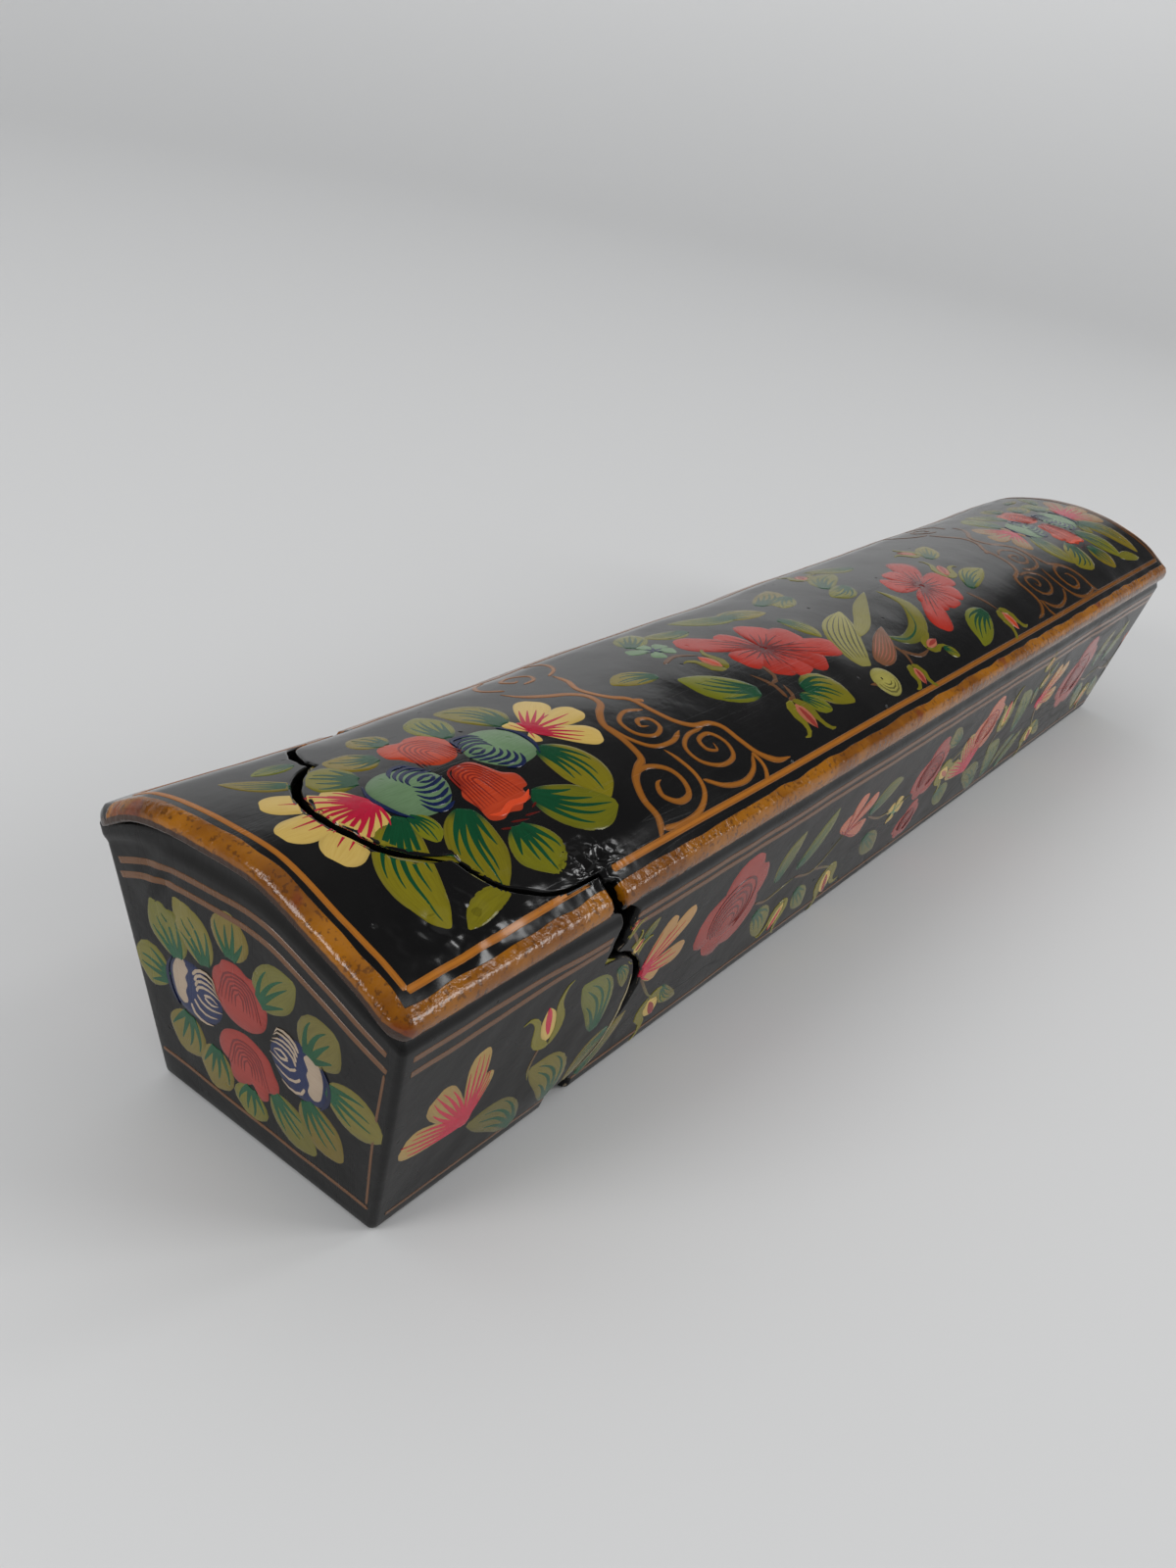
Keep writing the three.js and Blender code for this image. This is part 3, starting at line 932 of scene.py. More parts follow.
def panel_points(low, high, edge):
    """A flat board with rounded edges: a box whose faces are eased in by the edge radius
    over their last stretch, as a ring round x carried along y and closed at both ends."""
    middle = (np.array(low) + high) / 2
    half = (np.array(high) - low) / 2
    turn = np.linspace(0, 2 * np.pi, 48, endpoint=False)
    corner = (np.abs(np.cos(turn)) ** 8 + np.abs(np.sin(turn)) ** 8) ** (-1 / 8)
    along = np.concatenate([[-1, -1, -0.995], np.linspace(-0.97, 0.97, 24), [0.995, 1, 1]])[:, None]
    size = np.ones((len(along), 1))
    size[[0, -1]] = 0
    ease = np.where(np.abs(along) > 0.99, edge, 0)
    return np.stack([
        middle[0] + size * (half[0] - ease) * corner * np.cos(turn),
        middle[1] + half[1] * along + 0 * turn,
        middle[2] + size * (half[2] - ease) * corner * np.sin(turn),
    ], axis=-1)


wash, wash_tree, wash_shader = principled("tray wash")
wash_place = object_place(wash_tree)
wash_cloud = noise(wash_tree, wash_place, 70, 5.0)
wash_fibre = noise(wash_tree, wash_place, 1.0, 4.0, (120, 900, 900))
wash_colour = mix_colour(
    wash_tree, ramp(wash_tree, wash_cloud, 0.35, 0.65),
    (0.022, 0.0085, 0.006, 1), (0.052, 0.019, 0.011, 1),
)
wash_colour = mix_colour(
    wash_tree, ramp(wash_tree, wash_fibre, 0.56, 0.72), wash_colour, (0.085, 0.045, 0.028, 1)
)
wash_height = add_node(wash_tree, "SeparateXYZ", {"Vector": wash_place}).outputs["Z"]
wash_rim = reckon(
    wash_tree, "ADD", ramp(wash_tree, wash_height, (tray_rim - 1.2) * mm, tray_rim * mm),
    reckon(wash_tree, "SUBTRACT", wash_fibre, 0.5),
)
wash_colour = mix_colour(
    wash_tree, ramp(wash_tree, wash_rim, 0.62, 0.9), wash_colour, (0.17, 0.105, 0.06, 1)
)
wash_roughness = ramp(wash_tree, wash_cloud, 0.3, 0.7, 0.5, 0.72)
wash_bump = add_node(wash_tree, "Bump", {"Height": wash_fibre, "Distance": 0.06 * mm})
wash_tree.links.new(wash_colour, wash_shader.inputs["Base Color"])
wash_tree.links.new(wash_roughness, wash_shader.inputs["Roughness"])
wash_tree.links.new(wash_bump.outputs["Normal"], wash_shader.inputs["Normal"])

tray_trough = add_closed("tray_trough", tray_points(steps=70), {}, ring=True)
tray_trough.data.materials.append(wash)
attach(tray_trough, "cap_and_tray")
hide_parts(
    "tray_floor", "tray_front_wall", "tray_back_wall", "tray_cap_end", "tray_inner_end"
)

tray_divider = add_closed(
    "tray_divider", panel_points(*node_box("tray_partition"), edge=0.3), {}, ring=True
)
tray_divider.data.materials.append(wash)
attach(tray_divider, "cap_and_tray")
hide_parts("tray_partition")


# The painting: the flowers, leaves, scrolls and lines are laid on the black ground in
# thick body colour with a fine brush, then varnished. Each mark is a low closed pillow
# that follows the face it lies on, and marks that cross the cut are sawn with it.
def pigment(red, green, blue):
    """A paint colour from its red, green and blue as they look, 0 to 255."""
    share = np.array([red, green, blue]) / 255
    return np.where(share < 0.04045, share / 12.92, ((share + 0.055) / 1.055) ** 2.4)


gold = pigment(150, 92, 26)
copper = pigment(90, 59, 34)
olive = pigment(106, 99, 14)
dull_olive = pigment(92, 88, 34)
vein_green = pigment(6, 64, 36)
orange_red = pigment(172, 58, 26)
deep_orange = pigment(104, 22, 14)
faint_orange = pigment(122, 27, 14)
coral = pigment(132, 46, 38)
deep_coral = pigment(86, 22, 24)
faint_coral = pigment(94, 27, 27)
crimson = pigment(162, 16, 48)
cream = pigment(184, 156, 84)
sea_green = pigment(96, 122, 88)
navy = pigment(12, 26, 64)
poppy_red = pigment(156, 38, 22)
deep_poppy = pigment(92, 14, 16)
rose_pink = pigment(160, 92, 68)
brown = pigment(92, 58, 30)

hand = np.random.default_rng(7)


def in_place(x, y):
    """Leaves a mark where it is drawn."""
    return x, y


def smooth_path(points, steps=48, closed=False):
    """Places on a smooth curve through the points (a Catmull-Rom spline), evenly spaced."""
    points = np.asarray(points, float)
    if closed:
        knots = np.concatenate([points[-1:], points, points[:2]])
    else:
        knots = np.concatenate([[2 * points[0] - points[1]], points, [2 * points[-1] - points[-2]]])
    spans = len(knots) - 3
    fine = np.linspace(0, spans, 24 * spans + 1)
    span = np.minimum(fine.astype(int), spans - 1)
    t = (fine - span)[:, None]
    a, b, c, d = (knots[span + k] for k in range(4))
    curve = b + 0.5 * t * (c - a + t * (2 * a - 5 * b + 4 * c - d + t * (3 * (b - c) + d - a)))
    gone = np.concatenate([[0], np.cumsum(np.linalg.norm(np.diff(curve, axis=0), axis=1))])
    even = np.linspace(0, gone[-1], steps)
    return np.stack([np.interp(even, gone, curve[:, k]) for k in range(2)], axis=-1)


def blade(path, half_width):
    """The flat shape of a brush mark: place(t, w) is t of the way along the path and w
    of the half width, itself a function of t, to its side."""
    known = np.linspace(0, 1, len(path))
    run = np.gradient(path, axis=0)
    run /= np.linalg.norm(run, axis=1)[:, None]

    def place(t, w):
        t, w = np.broadcast_arrays(np.asarray(t, float), np.asarray(w, float))
        middle = [np.interp(t, known, path[:, k]) for k in range(2)]
        ahead = [np.interp(t, known, run[:, k]) for k in range(2)]
        reach = w * half_width(t)
        return np.stack([middle[0] - reach * ahead[1], middle[1] + reach * ahead[0]], axis=-1)

    return place


def leaf_shape(width, belly):
    """Half width along a leaf: nothing at both ends, widest at the belly, pointed at the tip."""
    power = math.log(0.5) / math.log(belly)
    return lambda t: width / 2 * np.sin(np.pi * np.clip(t, 0, 1) ** power) ** (0.58 + 0.42 * t ** 3)


def petal_shape(width):
    """Half width along a petal: it widens out of the heart and ends in a blunt round tip."""
    return lambda t: width / 2 * (
        np.sin(np.pi / 2 * np.clip(t / 0.78, 0, 1)) ** 0.9
        * np.sqrt(1 - np.clip((t - 0.78) / 0.22, 0, 1) ** 2)
    )


def stroke_shape(width, taper_in, taper_out):
    """Half width along a brush stroke: it swells over the first share and thins over the last."""
    return lambda t: width / 2 * (
        np.clip(t / taper_in, 0, 1) * np.clip((1 - t) / taper_out, 0, 1)
    ) ** 0.7


def blend(first, last, start=0.0, end=1.0):
    """A tint that runs from the first colour to the last between two shares of a mark."""
    return lambda t, w: first + (last - first) * smooth_step(start, end, t)[..., None]


class Painting:
    """The brush marks on one face, in the order they were laid, each with its points
    (two places on the face and a height over it), colours, brush places and faces."""

    def __init__(self, pitch, strength=1.0):
        self.pitch = pitch
        self.strength = strength
        self.marks = []
        self.move = in_place

    def add(self, spot, height, colours, brush, faces):
        """Keeps one mark, moved to where it belongs on the face."""
        x, y = self.move(spot[..., 0], spot[..., 1])
        points = np.stack([x, y, height + 0 * x], axis=-1).reshape(-1, 3)
        lane = 17.3 * (len(self.marks) % 50)
        self.marks.append((
            points, self.strength * colours.reshape(-1, 3), brush.reshape(-1, 2) + [0, lane], faces
        ))

    def mark(self, place, tint, low=-0.06, high=0.07, edge=0.75, flat=12, columns=None):
        """A pillow over the blade: its rim is at the low height and its crown at the high
        one. tint(t, w) is its colour, which darkens to the edge share at the rim."""
        length = np.linalg.norm(np.diff(place(np.linspace(0, 1, 25), 0), axis=0), axis=1).sum()
        width = np.linalg.norm(place(0.5, 1) - place(0.5, -1))
        steps = int(np.clip(length / self.pitch, 7, 700)) + 2
        if columns is None:
            columns = np.sin(np.linspace(
                -np.pi / 2, np.pi / 2, int(np.clip(width / self.pitch, 2, 16)) + 3
            ))
        t = np.linspace(0, 1, steps)
        t = (t - 0.13 * np.sin(2 * np.pi * t))[:, None]
        w = np.array(columns)[None, :]
        across = w.size
        from_end = length * (0.5 - np.abs(t - 0.5)) / min(length / 2, max(0.6 * width, 0.25))
        crown = (1 - np.abs(w) ** flat) * np.sqrt(1 - (1 - np.clip(from_end, 0, 1)) ** 2)
        shade = hand.uniform(0.93, 1.07) * (1 - (1 - edge) * np.abs(w) ** 6)
        colours = tint(t + 0 * w, w + 0 * t) * shade[..., None]
        brush = np.stack([t * length + 0 * w, w * width / 2 + 0 * t], axis=-1)
        row = across * np.arange(steps - 1)[:, None]
        under = np.concatenate([row, row + across - 1, row + 2 * across - 1, row + across], axis=1)
        faces = np.concatenate([grid_faces(steps, across), under])
        self.add(place(t, w), low + (high - low) * crown, colours, brush, faces)

    def stroke(self, points, width, colour, tip=None, taper=(0.2, 0.6), low=-0.03, high=0.05):
        """A plain brush stroke along a smooth line through the points."""
        tip = colour if tip is None else tip
        points = np.asarray(points, float)
        steps = 12 * len(points)
        shape = blade(smooth_path(points, steps), stroke_shape(width, *taper))
        self.mark(
            shape, blend(colour, tip), low, high, edge=0.9, flat=30, columns=(-1, -0.8, 0.8, 1)
        )

    def body(self, outline, tint, high=0.09):
        """A pillow that fills a smooth closed outline round its middle: rings of points
        from the middle to the rim. tint(r, a) is its colour at a share of the way out."""
        low = -0.06
        rim_shade = 0.62
        loop = smooth_path(outline, 6 * len(outline) + 1, closed=True)[:-1]
        middle = loop.mean(axis=0)
        size = np.linalg.norm(loop - middle, axis=1).mean()
        rings = np.linspace(0, 0.86, int(size / self.pitch) + 3)
        r = np.concatenate([rings, [0.94, 0.985, 1.0]])[:, None]
        angle = np.linspace(0, 2 * np.pi, len(loop), endpoint=False)[None, :]
        spot = middle + r[..., None] * (loop - middle)
        shade = hand.uniform(0.95, 1.05) * (1 - (1 - rim_shade) * r ** 10)
        colours = tint(r + 0 * angle, angle + 0 * r) * shade[..., None]
        spot = np.concatenate([spot, np.broadcast_to(middle, spot[:1].shape)])
        height = np.concatenate([low + (high - low) * (1 - r ** 7), [[low]]])
        colours = np.concatenate([colours, colours[-1:]])
        faces = grid_faces(len(height), len(loop), ring=True)
        self.add(spot, height, colours, spot - middle, faces)

    def arcs(self, focus, radii, towards, spread, squash, width, colour):
        """Nested arcs round a focus, swung about a direction, a little uneven."""
        for radius in radii:
            swing = spread * hand.uniform(0.85, 1.1) * np.linspace(-1, 1, 9)
            swing = swing + towards + hand.uniform(-0.12, 0.12)
            line = np.stack([
                focus[0] + radius * np.cos(swing), focus[1] + squash * radius * np.sin(swing)
            ], axis=-1)
            self.stroke(line, width, colour, taper=(0.3, 0.3), low=0.05, high=0.115)

    def print_rings(self, outline, anchor, shares, trim, width, colour):
        """Nested fine lines: the outline shrunk towards an anchor to each share, left open
        where it comes nearer to the anchor than the trim share of its size."""
        loop = smooth_path(outline, 60, closed=True)[:-1]
        anchor = np.array(anchor, float)
        away = np.linalg.norm(loop - anchor, axis=1)
        loop = np.roll(loop, -int(away.argmin()), axis=0)
        away = np.roll(away, -int(away.argmin()))
        kept = loop[away > trim * away.max()]
        for share in shares:
            run = len(kept)
            first, last = hand.uniform(0, 0.12, 2) * run
            line = kept[int(first):run - int(last):4]
            line = anchor + (share + hand.uniform(-0.012, 0.012)) * (line - anchor)
            self.stroke(line, width, colour, taper=(0.4, 0.4), low=0.05, high=0.105)

    def piece(self, name, skin, body, clip):
        """Makes the painting a piece on a skin that rides on a body. clip moves the points
        that lie over an edge onto it, and says which of them lie beyond it."""
        clipped = [(clip(points), rest) for points, *rest in self.marks]
        kept = [(points, *rest) for (points, beyond), rest in clipped if not beyond.all()]
        starts = np.cumsum([0] + [len(mark[0]) for mark in kept])
        points, colours, brush = (np.concatenate([mark[k] for mark in kept]) for k in range(3))
        faces = np.concatenate([mark[3] + start for mark, start in zip(kept, starts)])
        piece = add_mesh(name, skin(*points.T), faces)
        paint = piece.data.color_attributes.new("paint", "FLOAT_COLOR", "POINT")
        rgba = np.ones((len(points), 4), np.float32)
        rgba[:, :3] = np.clip(colours, 0, 1)
        paint.data.foreach_set("color", rgba.ravel())
        strokes = piece.data.uv_layers.new(name="brush")
        strokes.data.foreach_set("uv", brush[faces.ravel()].astype(np.float32).ravel())
        close_mesh(piece)
        piece.data.set_sharp_from_angle(angle=math.radians(14))
        piece.data.materials.append(body_colour)
        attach(piece, body)


body_colour, body_tree, body_shader = principled("painted body colour")
body_shader.inputs["Specular IOR Level"].default_value = 0.32
varnished(body_tree, body_shader, 0.5, 0.5, 0.6, 0.18, 0.10)
body_paint = add_node(body_tree, "Attribute", attribute_name="paint").outputs["Color"]
body_brush = add_node(body_tree, "UVMap", uv_map="brush").outputs["UV"]
body_streaks = noise(body_tree, body_brush, 1.0, 3.0, (0.35, 5.0, 1.0))
body_worn = mix_colour(
    body_tree, reckon(body_tree, "MULTIPLY", ramp(body_tree, body_streaks, 0.35, 0.7), 0.30),
    body_paint, add_node(body_tree, "Gamma", {"Color": body_paint, "Gamma": 1.35}).outputs["Color"],
)
body_tree.links.new(body_worn, body_shader.inputs["Base Color"])


def bent_path(base, tip, bend):
    """A smooth line from base to tip that bows to its left by a share of its length."""
    base, tip = np.array(base, float), np.array(tip, float)
    run = tip - base
    return smooth_path([base, (base + tip) / 2 + bend * np.array([-run[1], run[0]]), tip])


def leaf(painting, base, tip, width, bend, veins=5, colour=olive, foot=0.24):
    """A leaf: an olive blade, dark green round its base, with veins fanning to the tip."""
    colour = colour * hand.uniform(0.85, 1.15, 3) ** [1, 0.6, 1]
    shape = blade(bent_path(base, tip, bend), leaf_shape(1.1 * width, 0.5))
    painting.mark(shape, blend(vein_green, colour, 0.25 * foot, foot))
    for w in np.linspace(-0.72, 0.72, veins):
        reach = 0.88 - 0.38 * abs(w) + hand.uniform(-0.1, 0.06)
        t = np.linspace(0.05, reach, 8)
        line = shape(t, (w + hand.uniform(-0.06, 0.06)) * (0.45 + 0.55 * t / reach))
        painting.stroke(line, 0.14 * width, vein_green, taper=(0.03, 0.65), low=0.02, high=0.075)


def petal(painting, heart, tip, width, stripes, colour, stripe=crimson, reach=0.9, start=0.0):
    """A striped petal: pale, blunt at its tip, with dark stripes running out of the heart."""
    shape = blade(bent_path(heart, tip, 0.0), petal_shape(width))
    painting.mark(shape, blend(0.5 * stripe + 0.5 * colour, colour, 0.0, 0.2), high=0.065)
    for w in np.linspace(-0.66, 0.66, stripes) if stripes > 1 else [0.0]:
        t = np.linspace(start, reach - 0.25 * abs(w) + hand.uniform(-0.12, 0.03), 7)
        painting.stroke(
            shape(t, w), 0.12 * width, stripe, taper=(0.02, 0.5), low=0.02, high=0.08
        )


def bud(painting, foot, tip, width, core, coat):
    """A bud: a pale pointed coat with a dark core, held between two curling sepals."""
    foot, tip = np.array(foot, float), np.array(tip, float)
    run = tip - foot
    side = np.array([-run[1], run[0]]) / np.linalg.norm(run) * width
    painting.mark(blade(bent_path(foot, tip, 0), leaf_shape(width, 0.5)), blend(coat, coat))
    for hang in (1, -1):
        line = [foot - 0.15 * run, foot + 0.25 * run + 0.66 * hang * side,
                foot + 0.8 * run + 0.62 * hang * side, foot + 1.1 * run + 1.0 * hang * side,
                foot + 1.12 * run + 1.45 * hang * side]
        painting.stroke(line, 0.6 * width, olive, taper=(0.15, 0.6), low=-0.06, high=0.07)
    painting.mark(
        blade(bent_path(foot + 0.15 * run, tip, 0), leaf_shape(0.5 * width, 0.55)),
        blend(core, core), low=0.02, high=0.08,
    )


def wound_blossom(painting, middle, size, way, ground=sea_green, line=navy, rim=navy,
                  under=(0, 1, 2, 3, 4), pen=0.056, taper=(0.22, 0.22)):
    """A round blossom that looks wound of thread: over and under a small eye, bowed lines
    run from its plain outer side to its inner edge, each a number of steps from the eye.
    way is 1 when the lines are on the right."""
    def spot(u, v):
        return (middle[0] + way * size * u, middle[1] + size * v)

    outline = [(-0.52, 0.05), (-0.42, 0.33), (-0.1, 0.48), (0.24, 0.42), (0.46, 0.18),
               (0.52, 0.02), (0.45, -0.2), (0.24, -0.42), (-0.1, -0.48), (-0.42, -0.36)]
    outline = [spot(u, v) for u, v in outline]
    painting.body(outline, blend(ground, 0.9 * ground))
    bows = [[(0.03 - 0.02 * k, 0.03 + 0.085 * k), (0.05, 0.125 + 0.09 * k),
             (0.16, 0.19 + 0.085 * k), (0.32, 0.20 + 0.08 * k), (0.48 - 0.03 * k, 0.15 + 0.055 * k)]
            for k in range(4)]
    bows += [[(0.03 - 0.04 * k, 0.02 - 0.07 * k), (0.12 - 0.045 * k, -0.06 - 0.085 * k),
              (0.28 - 0.05 * k, -0.075 - 0.095 * k), (0.50 - 0.058 * k, -0.10 * k)]
             for k in under]
    bows += [[(0.16, 0.06), (0.29, 0.11), (0.42, 0.07)], [(0.16, 0.04), (0.29, -0.01), (0.42, 0.05)]]
    for bow in bows:
        bow = np.array(bow) + hand.uniform(-0.008, 0.008, (len(bow), 2))
        painting.stroke([spot(u, v) for u, v in bow], pen * size, line, taper=taper,
                        low=0.05, high=0.115)
    painting.stroke([spot(-0.40, 0.36), spot(-0.52, 0.10), spot(-0.49, -0.20), spot(-0.34, -0.43)],
                    0.07 * size, rim, taper=(0.4, 0.4), low=-0.06, high=0.1)


def thumbed_blossom(painting, outline, focus, colour, line, tall, leg):
    """A solid blossom with faint nested arches in it like a thumbprint: each rises from
    both sides of the focus, is tall times as high as it is wide and has legs below."""
    painting.body(outline, blend(colour, 0.92 * colour))
    for reach in np.linspace(0.16, 0.84, 6):
        shoulder = reach * hand.uniform(0.93, 1.03)
        arch = [(-1.15 * reach, -leg), (-1.05 * shoulder, -0.2 * leg), (-0.7 * reach, 0.75 * reach),
                (0, reach), (0.7 * reach, 0.75 * reach), (1.05 * shoulder, -0.2 * leg),
                (1.15 * reach, -leg)]
        arch = [(focus[0] + 3.6 * u, focus[1] + 3.6 * tall * v) for u, v in arch]
        painting.stroke(arch, 0.32, line, taper=(0.3, 0.3), low=0.05, high=0.105)


# The painting on the top: at each end a cluster of blossoms with gilt scrolls beside it,
# and between them two poppies, a bird, buds and leaves, all inside a gold line. The far
# cluster is painted duller, and its mesh is coarser, as it is small in the picture.
top_painting = Painting(pitch=0.35)


def posy(pale):
    """The cluster near an end of the top: four blossoms in a ring, two striped flowers of
    a pale colour beyond them and leaves all round."""
    for base, tip, width, bend in [
        ((-105.4, 3.9), (-110.2, 9.0), 6.8, 0.0), ((-99.2, 7.2), (-105.2, 10.8), 5.2, 0.12),
        ((-95.8, 9.2), (-97.0, 14.8), 5.4, 0.0), ((-89.4, 5.2), (-85.6, 14.4), 5.4, 0.05),
        ((-81.0, 3.2), (-83.6, 13.6), 6.4, -0.12), ((-111.0, 7.2), (-117.2, 13.9), 3.0, 0.06),
        ((-107.0, 12.7), (-113.2, 13.2), 2.8, 0.0),
        ((-106.4, -4.0), (-106.0, -8.8), 3.6, 0.1), ((-107.0, -3.4), (-113.5, -17.9), 6.6, -0.13),
        ((-99.2, -5.8), (-103.9, -17.2), 6.8, -0.08), ((-95.6, -10.6), (-96.1, -18.5), 7.0, 0.0),
        ((-90.6, -8.0), (-80.4, -14.4), 6.9, -0.12), ((-82.6, -2.2), (-81.3, -13.8), 6.8, 0.12),
    ]:
        leaf(top_painting, base, tip, width, bend)
    leaf(top_painting, (-102.6, -16.6), (-111.8, -18.6), 2.8, bend=-0.06, veins=0, foot=0.02)
    for tip, width, stripes in [
        ((-118.0, 6.6), 4.8, 3), ((-120.9, 0.0), 5.2, 4), ((-118.6, -5.8), 5.4, 4),
        ((-112.4, 3.6), 5.2, 5), ((-111.6, -4.8), 4.8, 4),
    ]:
        petal(top_painting, (-107.9, -0.4), tip, width, stripes, colour=pale, start=0.02)
    top_painting.body([(-107.8, 0.5), (-109.0, 0.9), (-110.4, -0.2), (-109.1, -1.4), (-107.8, -1.1)],
                      blend(crimson, crimson), high=0.085)
    for tip, width, stripes in [
        ((-80.9, 4.2), 2.2, 1), ((-81.2, -1.8), 2.0, 1), ((-71.8, 6.6), 5.2, 4),
        ((-69.2, 1.1), 4.6, 3), ((-72.0, -5.2), 4.8, 4),
    ]:
        petal(top_painting, (-80.0, 0.6), tip, width, stripes, colour=pale, reach=0.8)
    top_painting.body([(-80.2, 0.7), (-79.8, 3.3), (-78.4, 2.6), (-77.2, 0.6), (-77.6, -2.4),
                       (-79.2, -0.8)], blend(crimson, crimson), high=0.085)
    wound_blossom(top_painting, (-102.3, -0.7), 10.2, 1)
    wound_blossom(top_painting, (-86.5, 0.4), 9.8, -1)
    thumbed_blossom(
        top_painting,
        [(-93.9, 0.8), (-91.8, 1.4), (-90.2, 3.6), (-89.4, 6.4), (-90.2, 8.7), (-92.4, 9.7),
         (-94.2, 9.2), (-96.4, 9.9), (-98.4, 8.9), (-99.3, 6.4), (-98.2, 4.9), (-97.5, 2.8),
         (-96.0, 1.0)],
        (-94.1, 3.8), orange_red, faint_orange, 1.4, 0.42,
    )
    thumbed_blossom(
        top_painting,
        [(-93.6, 0.5), (-91.8, 0.1), (-90.9, -1.8), (-90.2, -3.6), (-88.6, -4.9), (-88.9, -7.0),
         (-90.2, -7.4), (-90.3, -8.9), (-92.0, -9.2), (-93.2, -9.9), (-95.0, -9.5),
         (-96.6, -9.9), (-98.3, -9.2), (-98.2, -7.0), (-98.5, -4.8), (-97.2, -3.2),
         (-96.2, -1.2), (-95.2, 0.2)],
        (-94.4, -3.6), orange_red, faint_orange, 1.15, 0.95,
    )
    top_painting.stroke([(-97.6, -8.4), (-95.8, -8.9), (-93.8, -8.3), (-91.6, -8.5), (-89.8, -7.6)],
                        0.9, 1.3 * orange_red, taper=(0.3, 0.3), low=0.05, high=0.1)
    for start, end in [((-97.9, -10.5), (-95.6, -11.3)), ((-96.0, -10.3), (-93.4, -11.0)),
                       ((-93.6, -10.4), (-91.2, -10.8)), ((-91.8, -9.9), (-89.6, -9.2))]:
        top_painting.stroke([start, end], 0.34, deep_orange * 0.6)


def far_along(x, y):
    """Where the near end's pattern comes again at the far end of the top, turned round."""
    return 3.0 - x, y


gilt_scrolls = [
    (1.15, [(-79.3, -20.4), (-77.4, -18.4), (-77.1, -15.6), (-75.4, -13.0), (-73.0, -11.5),
            (-71.1, -10.6), (-70.3, -7.5), (-69.8, -3.6), (-67.6, -1.1), (-65.2, 0.6),
            (-64.8, 3.2), (-66.4, 5.2), (-69.2, 6.6), (-71.6, 8.6), (-72.6, 11.4)]),
    (0.8, [(-77.9, -19.5), (-74.3, -20.0), (-70.4, -19.8), (-67.2, -18.4), (-65.9, -16.0),
           (-66.0, -13.0), (-66.5, -10.9)]),
    (0.9, [(-76.9, -15.0), (-74.8, -12.4), (-71.8, -12.0), (-69.3, -13.4), (-68.7, -15.6),
           (-69.8, -17.6), (-72.3, -17.8), (-73.9, -16.3), (-73.0, -14.7), (-71.8, -14.4)]),
    (0.8, [(-69.7, -3.4), (-69.4, -7.0), (-67.4, -9.8), (-63.6, -10.3), (-60.4, -9.2)]),
    (0.75, [(-61.0, -3.6), (-64.0, -2.6), (-67.0, -4.0), (-67.4, -6.8), (-65.2, -8.4),
            (-62.7, -7.6), (-62.4, -5.6), (-64.2, -4.9), (-65.2, -6.1), (-64.0, -6.7)]),
    (1.05, [(-61.2, 11.6), (-62.0, 8.4), (-63.6, 5.6), (-63.4, 3.0), (-62.2, 1.0),
            (-60.2, -0.8), (-60.0, -4.4), (-59.2, -7.4), (-57.2, -9.4), (-54.4, -10.1),
            (-53.0, -11.6), (-52.7, -14.4), (-51.9, -17.2), (-49.6, -18.9), (-46.4, -19.4)]),
    (0.75, [(-56.2, -10.3), (-60.0, -10.4), (-62.9, -12.0), (-62.9, -14.6), (-60.2, -16.3),
            (-56.8, -16.0), (-55.4, -13.8), (-56.5, -11.5), (-59.2, -11.7), (-59.8, -13.4),
            (-58.3, -14.2), (-57.6, -13.0)]),
    (0.75, [(-65.6, -16.8), (-62.8, -18.6), (-58.8, -19.3), (-55.4, -18.6), (-53.1, -16.8)]),
    (0.8, [(-53.0, -16.6), (-52.9, -19.0), (-54.6, -20.8)]),
    (0.95, [(-60.6, -1.0), (-59.4, -1.5), (-58.7, -2.1)]),
    (0.7, [(-66.6, 12.2), (-64.0, 12.6), (-62.6, 14.6), (-64.2, 16.6), (-66.8, 16.0),
           (-66.6, 14.0), (-65.2, 14.2)]),
    (0.7, [(-70.8, 12.0), (-72.0, 15.0), (-70.0, 17.8), (-66.8, 18.8)]),
    (0.7, [(-61.4, 12.0), (-58.2, 13.6), (-56.4, 16.6), (-57.4, 19.4)]),
]


def scrolls(gilt):
    """The scrollwork beside the cluster in a gilt colour: each line is its width and points."""
    for width, points in gilt_scrolls:
        top_painting.stroke(
            points, 1.05 * width, 0.55 * gilt, 0.65 * gilt, taper=(0.05, 0.1), low=-0.04, high=0.045
        )
        top_painting.stroke(
            points, 0.68 * width, 0.85 * gilt, taper=(0.1, 0.2), low=0.0, high=0.058
        )


posy(cream)
scrolls(gold)
top_painting.move = far_along
top_painting.pitch = 0.8
posy(0.30 * cream + 0.25 * rose_pink)
scrolls(0.5 * gold)
top_painting.move = in_place


def poppy(painting, middle, tips):
    """A big open flower: petals from the middle, each as (tip, width), dark strokes in them."""
    for tip, width in tips:
        shape = blade(bent_path(middle, tip, 0.0), petal_shape(width))
        heart = 0.5 * deep_poppy + 0.5 * poppy_red
        painting.mark(shape, blend(heart, poppy_red, 0.0, 0.6), high=0.08, edge=0.6)
        for w in (-0.5, -0.1, 0.35):
            t = np.linspace(0.05, hand.uniform(0.5, 0.8), 7)
            painting.stroke(shape(t, w), 0.5, deep_poppy, taper=(0.05, 0.9), low=0.02, high=0.095)


